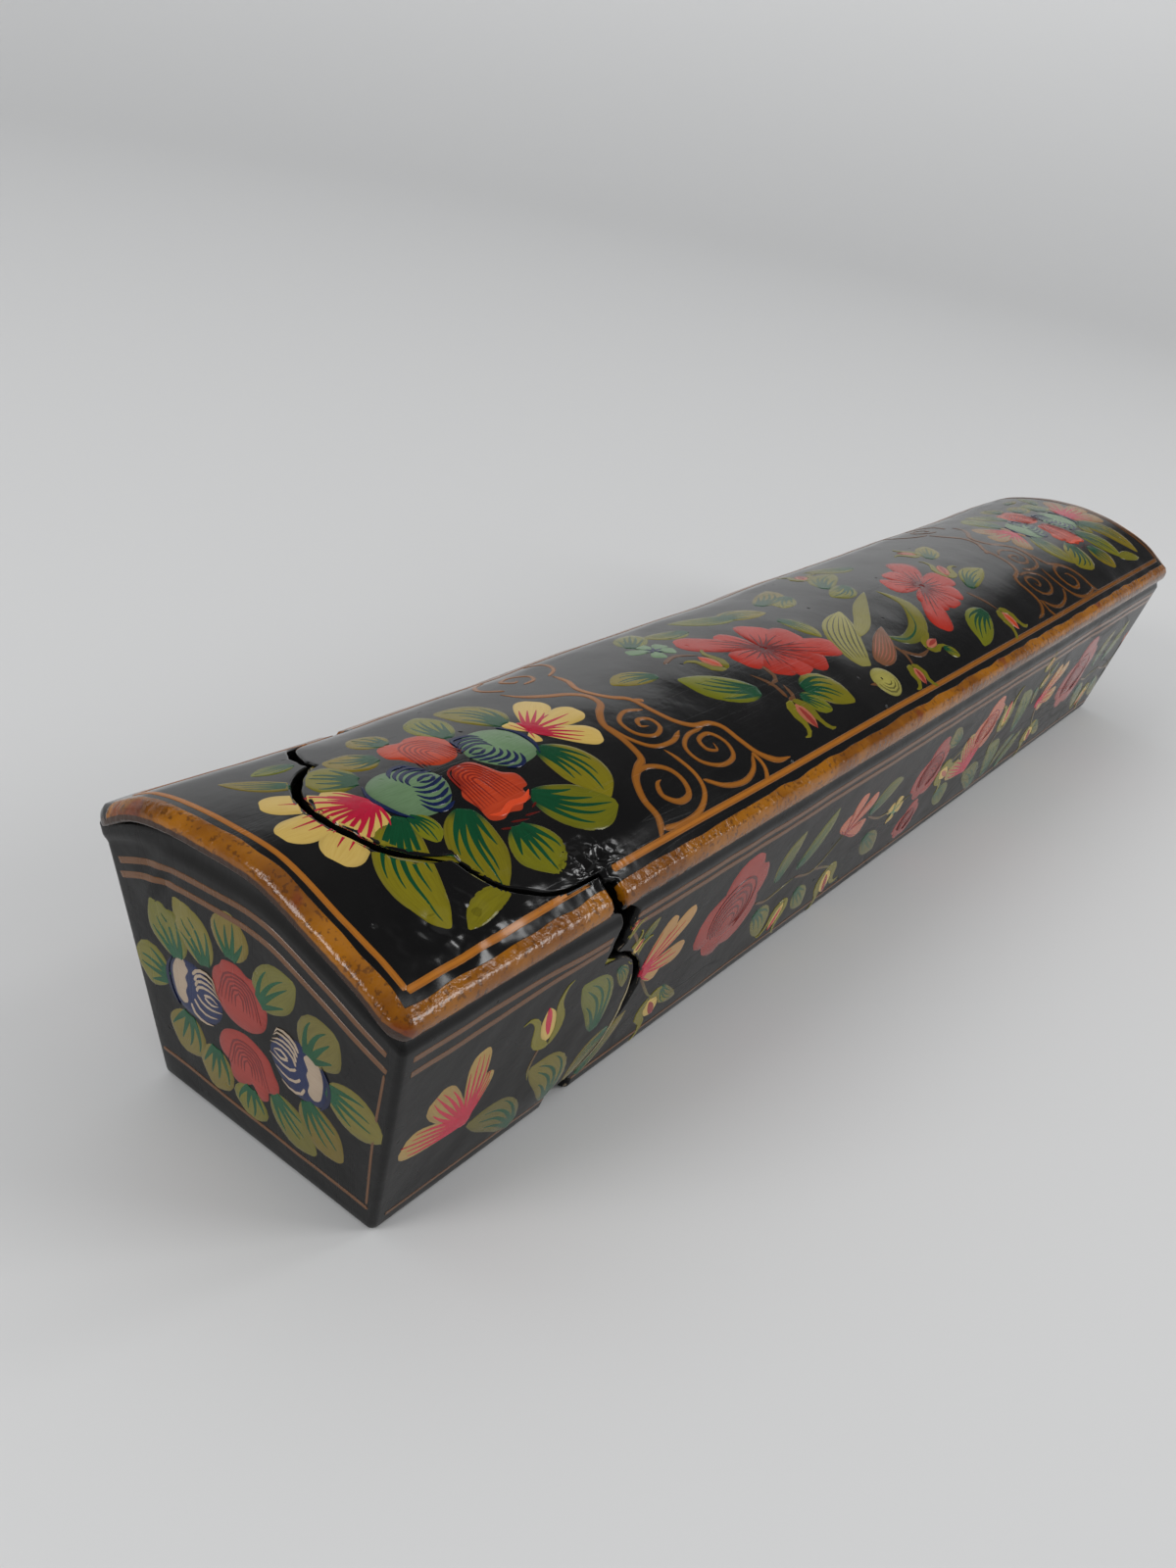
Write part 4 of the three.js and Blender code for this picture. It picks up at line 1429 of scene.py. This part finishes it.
for base, tip, width, bend in [
    ((-50.0, 1.4), (-59.0, 3.4), 4.2, -0.1), ((-38.6, -9.2), (-49.2, -0.6), 6.6, 0.08),
    ((-31.5, -11.6), (-23.0, -17.4), 6.4, 0.15), ((-33.5, -12.4), (-29.5, -16.8), 4.0, 0.0),
    ((-14.5, 3.2), (-13.0, -5.0), 4.2, 0.08), ((39.0, -8.2), (52.6, -5.0), 4.6, 0.08),
    ((35.0, -13.4), (22.6, -19.2), 5.6, -0.08), ((45.0, 3.0), (54.0, 8.0), 4.6, 0.0),
    ((-18.0, 8.0), (-28.0, 15.0), 5.0, 0.1), ((-10.0, 9.0), (2.0, 14.0), 5.2, -0.1),
    ((8.0, 6.0), (20.0, 10.5), 5.0, 0.1), ((-44.0, 10.5), (-36.0, 16.0), 5.0, 0.0),
    ((27.0, 10.0), (18.0, 16.0), 4.6, 0.1), ((11.0, -16.0), (13.6, -18.6), 2.4, 0.0),
    ((-22.0, 9.0), (-12.0, 6.0), 5.4, 0.1), ((0.0, 8.6), (-8.0, 5.2), 4.8, -0.1),
    ((14.0, 5.2), (5.0, 3.4), 4.6, 0.1), ((-30.0, 9.6), (-38.0, 13.0), 4.4, 0.1),
]:
    leaf(top_painting, base, tip, width, bend)
top_painting.mark(
    blade(smooth_path([(0.4, -9.6), (5.0, -11.9), (11.6, -10.6), (16.6, -5.6), (16.0, 0.6)]),
          leaf_shape(4.0, 0.55)),
    blend(0.5 * vein_green + 0.5 * olive, olive, 0.05, 0.5),
)
top_painting.stroke([(1.4, -10.3), (5.4, -11.9), (11.0, -10.4), (15.2, -6.0)], 0.6, vein_green,
                    taper=(0.1, 0.8), low=0.0, high=0.08)
for points in [
    [(-36.0, -12.0), (-35.4, -9.0), (-36.8, -5.6)], [(-32.4, -5.0), (-33.2, -8.2), (-36.4, -8.8)],
    [(-36.2, -12.4), (-34.6, -12.2), (-33.6, -9.6)], [(-0.4, -13.0), (3.0, -15.4), (7.6, -15.2)],
    [(-0.6, -11.4), (-0.2, -14.4), (-1.6, -16.8)], [(36.4, -8.6), (38.0, -12.0), (38.6, -15.0)],
    [(-46.0, 3.4), (-42.0, 4.2), (-38.6, 2.2)],
]:
    top_painting.stroke(points, 0.85, brown, copper, taper=(0.1, 0.4))
poppy(top_painting, (-27.0, -2.0), [
    ((-37.8, 7.4), 6.4), ((-20.5, 4.2), 7.0), ((-31.5, 4.6), 7.0), ((-35.2, -3.0), 6.0),
    ((-16.4, -1.6), 7.0), ((-12.4, -8.0), 5.6), ((-31.0, -8.6), 6.0), ((-19.4, -9.8), 6.2),
    ((-25.4, -10.2), 6.0),
])
poppy(top_painting, (28.0, -3.2), [
    ((36.4, 6.0), 6.4), ((28.0, 4.6), 6.6), ((20.4, 1.0), 6.4), ((39.0, -3.4), 6.0),
    ((16.2, -13.6), 5.6), ((22.0, -9.4), 6.6), ((28.4, -11.0), 6.4), ((34.6, -8.6), 6.0),
])
for foot, tip, width, core in [
    ((-38.6, -2.2), (-39.4, 2.0), 2.7, orange_red), ((-36.0, -13.2), (-36.4, -18.0), 2.9, coral),
    ((7.4, -14.8), (11.6, -14.2), 2.0, coral), ((-1.8, -16.6), (-2.2, -19.8), 2.6, coral),
    ((39.4, -3.2), (43.4, 0.4), 2.8, coral), ((38.8, -15.2), (39.4, -19.4), 3.0, orange_red),
    ((45.8, 6.0), (44.0, 9.4), 2.6, coral), ((12.0, 12.0), (15.0, 15.0), 2.6, coral),
]:
    bud(top_painting, foot, tip, width, core, rose_pink)
for tip in [(-46.4, 9.8), (-42.0, 11.0), (-38.8, 8.6), (-39.6, 5.4), (-44.4, 5.0)]:
    petal(top_painting, (-42.2, 7.6), tip, 2.8, 2, colour=sea_green, stripe=navy, reach=0.6)


def bird(painting):
    """The bird on its spray: a round head, a barred body and wing, and a long tail."""
    pale = pigment(124, 118, 58)
    wing = pigment(112, 74, 50)
    plume = blade(smooth_path([(-12.6, -13.6), (-11.4, -9.8), (-7.6, -5.6), (0.8, -0.6)]),
                  leaf_shape(7.4, 0.42))
    painting.mark(plume, blend(pale, 1.25 * pale), high=0.07)
    tail = blade(smooth_path([(-6.0, -7.4), (0.0, -5.4), (6.4, -1.8), (13.6, 1.4)]),
                 leaf_shape(3.4, 0.45))
    painting.mark(tail, blend(pale, 0.8 * pale), high=0.075)
    feathers = blade(smooth_path([(-9.0, -13.6), (-4.0, -12.0), (3.4, -7.4)]), leaf_shape(4.6, 0.4))
    painting.mark(feathers, blend(wing, 0.9 * wing), high=0.085)
    for w in np.linspace(-0.7, 0.7, 6):
        painting.stroke(plume(np.linspace(0.12, 0.86, 7), w), 0.4, dull_olive * 0.5,
                        taper=(0.3, 0.7), low=0.02, high=0.08)
        painting.stroke(feathers(np.linspace(0.1, 0.8, 7), w), 0.32, rose_pink * 0.8,
                        taper=(0.3, 0.7), low=0.02, high=0.097)
    turn = np.linspace(0, 2 * np.pi, 12, endpoint=False)
    head = np.stack([-11.9 + 3.4 * np.cos(turn), -16.6 + 2.9 * np.sin(turn)], axis=-1)
    painting.body(head, blend(1.5 * pale, 1.2 * pale), high=0.1)
    painting.arcs((-11.9, -16.6), [1.0, 1.8, 2.5], -np.pi / 2, 1.6, 0.85, 0.3, 0.5 * pale)
    painting.stroke([(-14.8, -16.4), (-16.4, -16.0)], 0.8, brown, taper=(0.1, 0.9))
    painting.stroke([(-12.8, -16.0), (-12.2, -16.0)], 0.6, 0.05 * pale, low=0.05, high=0.12)


bird(top_painting)

# The gold line, a broad stroke with a brighter one on it as a painted highlight, broken
# beside the cut at the front and fainter towards the far end.
line_side = 20.5
line_end = 122.6
far_fade = 0.4
for width, colour, high in [(0.85, 0.9 * gold, 0.05), (0.4, 1.15 * gold, 0.062)]:
    for side, start, end in [(1, -line_end, line_end), (-1, -line_end, -93.4), (-1, -89, line_end)]:
        along = np.linspace(start, end, 5 if start == -line_end else 7)
        line = np.stack([along, side * line_side + 0.08 * ripple(along, side, 60, 97)], axis=-1)
        fade = far_fade if end == line_end else 1.0
        top_painting.stroke(
            line, width, colour, fade * colour, taper=(0.0005, 0.0005), high=high
        )
    for side in (1, -1):
        across = [(side * line_end, -line_side), (side * (line_end + 0.12), -7),
                  (side * line_end, 8), (side * line_end, line_side)]
        fade = far_fade if side > 0 else 1.0
        top_painting.stroke(across, width, fade * colour, taper=(0.002, 0.002), high=high)


def sawn_at(edge, side, fall):
    """Saws a painting at a cut whose x is edge of the other place: side 1 keeps what lies
    on the case. fall is how far the face has sunk at a distance from the cut."""
    nearest = 0.02

    def clip(points):
        x, other, height = points.T
        cut = edge(other)
        off = side * (x - cut)
        beyond = off < nearest
        off = np.maximum(off, nearest)
        return np.stack([cut + side * off, other, height - fall(off)], axis=-1), beyond

    return clip


def top_fall(off):
    """How far the top's rounded edge has fallen at a distance from the cut."""
    return np.interp(off, [0, 0.05, 0.16, 0.35], [0.35, 0.18, 0.07, 0])


top_painting.piece(
    "case_top_painting", top_skin, "case", sawn_at(case_edge_on_top, 1, top_fall)
)
top_painting.piece(
    "cap_top_painting", top_skin, "cap_and_tray", sawn_at(cap_edge_on_top, -1, top_fall)
)


# The painting on the walls: on the front a spray of buds and striped flowers between
# ruled copper lines, on the near end a posy under the arch. The back and the far end
# are out of sight in the picture, and are painted to match.
def wall_skin(seed, proud, face):
    """The lacquer of a long wall of a shell: face is -1 for the front and 1 for the back."""
    def skin(x, z, height):
        from_corner = end_half(z) - np.abs(x)
        relief = wall_relief(x, z, seed) * smooth_step(1, 7, from_corner) * smooth_step(0.5, 4, z)
        swell = under_rim(proud(x, z), z, face * rim_half)
        return np.stack([x, face * (side_half(z) + relief + swell + height), z], axis=-1)

    return skin


def end_skin(seed, face):
    """The lacquer of a shell's end wall: face is -1 for the near end and 1 for the far one."""
    def skin(y, z, height):
        rise = arch_rise(y) + (face < 0) * skew(-rim_end, y)
        row = z / (1 + rise / wall_top)
        for _ in range(3):
            row = z - rise * (row / wall_top) ** 1.5
        from_corner = side_half(row) - np.abs(y)
        relief = end_relief(y, z, seed + 7)
        relief = relief * smooth_step(1, 7, from_corner) * smooth_step(0.5, 4, z)
        out = end_half(row) + relief + under_rim(0, row, y) + height
        return np.stack([face * out, y, z], axis=-1)

    return skin


def wall_fall(off):
    """How far a wall's edge has fallen at a distance from the cut."""
    return 0.25 * (1 - smooth_step(0, 0.3, off))


def peony(painting, middle, size, colour=coral, deep=deep_coral):
    """A full blossom with pointed outer petals and a thumbprint of fine darker arcs."""
    middle = np.array(middle, float)
    for turn, reach in [(0.2, 0.50), (1.35, 0.60), (2.9, 0.54), (4.0, 0.46), (5.3, 0.56)]:
        tip = middle + size * reach * np.array([math.cos(turn), math.sin(turn)])
        shape = blade(bent_path(middle, tip, 0.1), leaf_shape(0.62 * size, 0.52))
        painting.mark(shape, blend(colour, colour), high=0.06, edge=0.7)
    turn = np.linspace(0, 2 * np.pi, 10, endpoint=False)
    round_body = middle + 0.34 * size * np.stack([np.cos(turn), np.sin(turn)], axis=-1)
    painting.body(round_body, blend(0.9 * colour, 0.8 * colour), high=0.09)
    painting.print_rings(round_body, middle - [0, 0.2 * size], np.linspace(0.3, 0.95, 6), 0.3,
                         0.03 * size, deep)


def spray(painting):
    """The front's running spray: striped flowers, buds and leaves, then again beyond."""
    for base, tip, width, bend in [
        ((-95.8, 1.8), (-107.2, 9.4), 5.0, -0.12), ((-89.6, 2.2), (-97.6, 12.8), 5.6, -0.16),
        ((-84.6, 11.6), (-92.4, 23.4), 5.4, -0.14), ((-84.6, 22.2), (-81.3, 17.2), 2.2, 0.1),
        ((-80.4, 10.2), (-87.4, 3.6), 3.4, -0.1), ((-83.4, 2.0), (-75.4, 9.8), 3.8, 0.0),
        ((-80.2, 23.6), (-77.4, 26.8), 2.0, 0.0), ((-67.4, 9.6), (-61.2, 4.6), 2.6, -0.1),
        ((-40.6, 15.4), (-38.2, 24.8), 4.6, 0.1), ((-35.0, 15.6), (-28.4, 25.4), 4.6, -0.1),
        ((-44.0, 11.4), (-37.4, 3.6), 4.6, 0.1), ((-30.4, 10.0), (-24.0, 3.8), 4.0, 0.0),
        ((-12.0, 17.0), (-2.6, 21.6), 4.6, 0.1), ((-8.0, 11.4), (1.0, 5.0), 4.6, 0.0),
        ((21.0, 21.6), (14.4, 26.0), 4.0, 0.1), ((22.0, 9.8), (29.6, 4.4), 4.6, 0.1),
    ]:
        leaf(painting, base, tip, width, bend, veins=4, colour=dull_olive)
    for points in [
        [(-97.0, 16.0), (-97.6, 13.0), (-96.9, 10.4)], [(-84.0, 27.6), (-81.4, 24.6), (-78.0, 18.6)],
        [(-76.0, 16.0), (-71.0, 10.0), (-68.6, 8.6)], [(-45.8, 14.0), (-41.0, 12.6), (-34.0, 13.8)],
        [(-34.0, 13.8), (-26.0, 12.0), (-19.6, 16.8)], [(-12.0, 17.0), (-4.0, 14.0), (6.0, 15.0)],
        [(-26.0, 12.0), (-20.0, 10.0), (-17.4, 8.4)], [(14.0, 15.6), (22.0, 16.6), (31.0, 19.4)],
    ]:
        painting.stroke(points, 0.55, 0.7 * brown, dull_olive, taper=(0.1, 0.4))
    for tip, width, stripes in [((-119.4, 14.2), 4.8, 4), ((-116.0, 20.2), 5.0, 4),
                                ((-109.4, 23.4), 4.0, 3), ((-106.6, 18.4), 3.6, 4)]:
        petal(painting, (-107.6, 10.4), tip, width, stripes + 1, colour=0.5 * cream + 0.1 * coral,
              reach=1.05)
    painting.body([(-107.2, 9.6), (-106.6, 11.6), (-108.4, 12.8), (-110.4, 12.2), (-109.4, 10.4)],
                  blend(crimson, crimson), high=0.1)
    for tip, width, stripes in [((-72.4, 24.8), 3.6, 2), ((-67.2, 23.8), 4.2, 3),
                                ((-66.0, 16.2), 4.0, 3), ((-71.0, 14.2), 3.2, 2)]:
        petal(painting, (-76.8, 16.6), tip, width, stripes, colour=0.45 * cream + 0.35 * rose_pink)
    painting.body([(-77.4, 16.6), (-76.2, 18.6), (-74.0, 18.2), (-74.0, 15.2), (-76.0, 14.8)],
                  blend(crimson, crimson), high=0.1)
    for tip, width, stripes in [((-22.4, 20.4), 3.6, 2), ((-18.6, 24.4), 3.8, 2),
                                ((-12.2, 22.0), 4.0, 2), ((-11.4, 15.0), 3.8, 2)]:
        petal(painting, (-19.4, 16.4), tip, width, stripes, colour=rose_pink, stripe=coral)
    for tip in [(-1.6, 15.0), (2.0, 16.4), (4.4, 13.4), (1.6, 10.6)]:
        petal(painting, (1.0, 13.2), tip, 2.8, 2, colour=0.8 * cream, stripe=sea_green)
    peony(painting, (-54.2, 17.0), 17.0)
    peony(painting, (11.4, 18.0), 12.6)
    peony(painting, (12.0, 7.0), 8.4)
    peony(painting, (35.4, 19.8), 12.0, rose_pink, coral)
    for foot, tip, width, core in [
        ((-95.6, 16.4), (-98.3, 23.2), 3.0, crimson), ((-85.2, 26.6), (-83.4, 29.2), 1.7, coral),
        ((-81.6, 21.8), (-79.6, 24.6), 1.8, coral), ((-69.6, 8.2), (-66.6, 4.0), 3.4, coral),
        ((-18.6, 8.6), (-15.8, 2.8), 3.4, coral), ((18.4, 15.8), (23.4, 13.0), 3.0, rose_pink),
        ((-33.0, 8.6), (-34.6, 3.4), 2.6, crimson),
    ]:
        bud(painting, foot, tip, width, core, 0.9 * cream)


def ruled_lines(painting, start, end, high_at, low_at, foot_at):
    """Three copper lines along a wall: two near its top and one along its foot."""
    reach = np.linspace(start, end, 9)
    for height, width in [(high_at, 1.05), (low_at, 1.05), (foot_at, 0.5)]:
        line = np.stack([reach, height(reach) + 0.1 * ripple(reach, width, 20, 95)], axis=-1)
        painting.stroke(line, width, copper, taper=(0.003, 0.003), low=-0.03, high=0.05)


def further_along(x, z):
    """Where the spray comes again on the far half of a long wall."""
    return x + 142.6, z


def long_wall(painting):
    """A long wall's painting, from the near corner to the far one."""
    for move in (in_place, further_along):
        painting.move = move
        spray(painting)
    painting.move = in_place
    ruled_lines(
        painting, -122.6, -89.4, lambda x: 29.6 - 0.4 * smooth_step(-105, -93, x),
        lambda x: 27.2 + 0.7 * smooth_step(-116, -93, x), lambda x: 2.3 + 0 * x,
    )
    ruled_lines(
        painting, -84.4, 122.6, lambda x: 30.0 + 0 * x, lambda x: 28.3 + 0 * x,
        lambda x: 2.2 + 0 * x,
    )


def within(half, margin):
    """Keeps a painting a margin clear of a wall's corners, which stand at half(z) either
    way at a height z, and clear of its foot."""
    clear_foot = 0.6

    def clip(points):
        along, z, height = points.T
        reach = half(z) - margin
        kept = np.stack([np.clip(along, -reach, reach), np.maximum(z, clear_foot), height], axis=-1)
        return kept, (np.abs(along) > reach) | (z < clear_foot)

    return clip


def both(first, then):
    """Clips points with the first clip and then with the other."""
    def clip(points):
        points, beyond = first(points)
        points, past = then(points)
        return points, beyond | past

    return clip


# On the front the paint is worn down to a pale streak along the cap's sawn edge.
within_wall = within(end_half, 1.8)
for name, face, is_front in [("front", -1, 1), ("back", 1, 0)]:
    # The wall's colours are painted 1.3 times brighter, painted light that makes up for the less
    # light falling on the upright walls.
    wall_painting = Painting(pitch=0.7, strength=1.3)
    long_wall(wall_painting)
    if is_front:
        worn = np.linspace(4.6, 19, 9)
        wall_painting.stroke(
            np.stack([cap_edge_on_wall(worn, 1) - 0.5, worn], axis=-1), 0.5,
            pigment(96, 86, 62), pigment(150, 138, 106), taper=(0.2, 0.4), low=0.0, high=0.07,
        )
    wall_painting.piece(
        "case_%s_painting" % name, wall_skin(case_seed, case_proud, face), "case",
        both(within_wall, sawn_at(lambda z: case_edge_on_wall(z, is_front), 1, wall_fall)),
    )
    wall_painting.piece(
        "cap_%s_painting" % name, wall_skin(cap_seed, cap_proud, face), "cap_and_tray",
        both(within_wall, sawn_at(lambda z: cap_edge_on_wall(z, is_front), -1, wall_fall)),
    )


def end_posy(painting):
    """An end's posy: two coral blossoms, two wound blossoms of cream on navy, and leaves."""
    for base, tip, width, bend in [
        ((3.2, 26.8), (3.0, 34.0), 5.7, 0.0), ((-0.8, 23.2), (-7.2, 30.4), 5.7, -0.06),
        ((-8.6, 20.8), (-13.5, 27.5), 6.7, -0.06), ((-11.0, 18.7), (-20.2, 16.9), 6.7, 0.0),
        ((-7.9, 14.6), (-13.6, 7.9), 6.2, 0.06), ((-2.6, 11.7), (-9.6, 6.0), 6.0, 0.06),
        ((1.1, 9.6), (1.5, 3.9), 5.6, 0.0), ((6.8, 12.0), (8.0, 4.4), 5.7, -0.05),
        ((11.2, 14.2), (13.3, 6.8), 6.2, -0.05), ((14.0, 17.4), (20.2, 18.0), 6.4, 0.05),
        ((12.2, 21.2), (16.0, 28.6), 6.2, 0.06), ((7.4, 23.0), (12.0, 30.9), 5.8, 0.06),
    ]:
        leaf(painting, base, tip, width, bend, veins=4, colour=dull_olive, foot=0.10)
    pale = pigment(146, 130, 112)
    blossom = 9.2
    for middle, way in [((-7.1, 18.2), 1), ((9.6, 18.2), -1)]:
        wound_blossom(painting, middle, blossom, way, navy, pale, 0.6 * navy, (0.2, 1.8, 3.5),
                      pen=0.05, taper=(0.05, 0.6))
        patch = [(-0.46, 0.06), (-0.40, 0.30), (-0.24, 0.44), (-0.06, 0.40), (-0.14, 0.20),
                 (-0.10, 0.04), (-0.16, -0.16), (-0.12, -0.36), (-0.26, -0.42), (-0.40, -0.28)]
        painting.body(
            [(middle[0] + blossom * way * u, middle[1] + blossom * v) for u, v in patch],
            blend(pale, 0.9 * pale), high=0.1,
        )
    upper = [(-4.8, 0.1), (-4.3, 2.4), (-2.6, 4.1), (-1.5, 4.1), (0.2, 4.8), (2.5, 4.3),
             (3.2, 3.2), (4.4, 1.9), (4.7, 0), (4.3, -2.3), (2.4, -4.3), (0.2, -4.8),
             (-2.2, -4.2), (-4.2, -2.4)]
    lower = [(-4.7, 1.7), (-3.5, 3.6), (0.1, 4.7), (3.7, 3.3), (5.2, 0.8), (4.9, -1.1),
             (3.6, -2.0), (3.4, -3.9), (2.2, -4.7), (0.4, -3.9), (-0.6, -3.2), (-1.9, -4.7),
             (-3.3, -3.9), (-3.6, -2.3), (-5.0, -1.9), (-5.5, 0.0)]
    for middle, outline in [((2.1, 22.4), upper), ((1.3, 13.0), lower)]:
        thumbed_blossom(
            painting, np.add(outline, middle), middle, coral, faint_coral, 1.0, 0.5
        )


def arch_lines(painting):
    """The end's copper lines: two under the arch, one above the foot and one up its front corner."""
    across = np.linspace(-20.4, 20.6, 13)
    arch = wall_top + arch_rise(across) + skew(-rim_end, across)
    narrowing = smooth_step(-5, 20, across)
    for drop in (4.8 + 0.5 * narrowing, 7.2 + 0.1 * narrowing):
        painting.stroke(np.stack([across, arch - drop], axis=-1), 0.95, copper,
                        taper=(0.003, 0.003), low=-0.03, high=0.05)
    foot = np.linspace(-17.2, 17.2, 7)
    painting.stroke(np.stack([foot, 4.2 + 0.03 * foot + 0.2 * np.sin(foot)], axis=-1), 0.6,
                    copper, taper=(0.01, 0.01), low=-0.03, high=0.05)
    painting.stroke([(-20.0, 27.0), (-18.2, 16.0), (-16.9, 4.4)], 0.4,
                    copper, taper=(0.02, 0.02), low=-0.03, high=0.04)


# The end's colours are likewise painted 1.3 times brighter, painted light for the upright wall.
end_painting = Painting(pitch=0.6, strength=1.3)
end_posy(end_painting)
arch_lines(end_painting)
within_end = within(side_half, 0.8)
end_painting.piece("near_end_painting", end_skin(cap_seed, -1), "cap_and_tray", within_end)
end_painting.piece("far_end_painting", end_skin(case_seed, 1), "case", within_end)
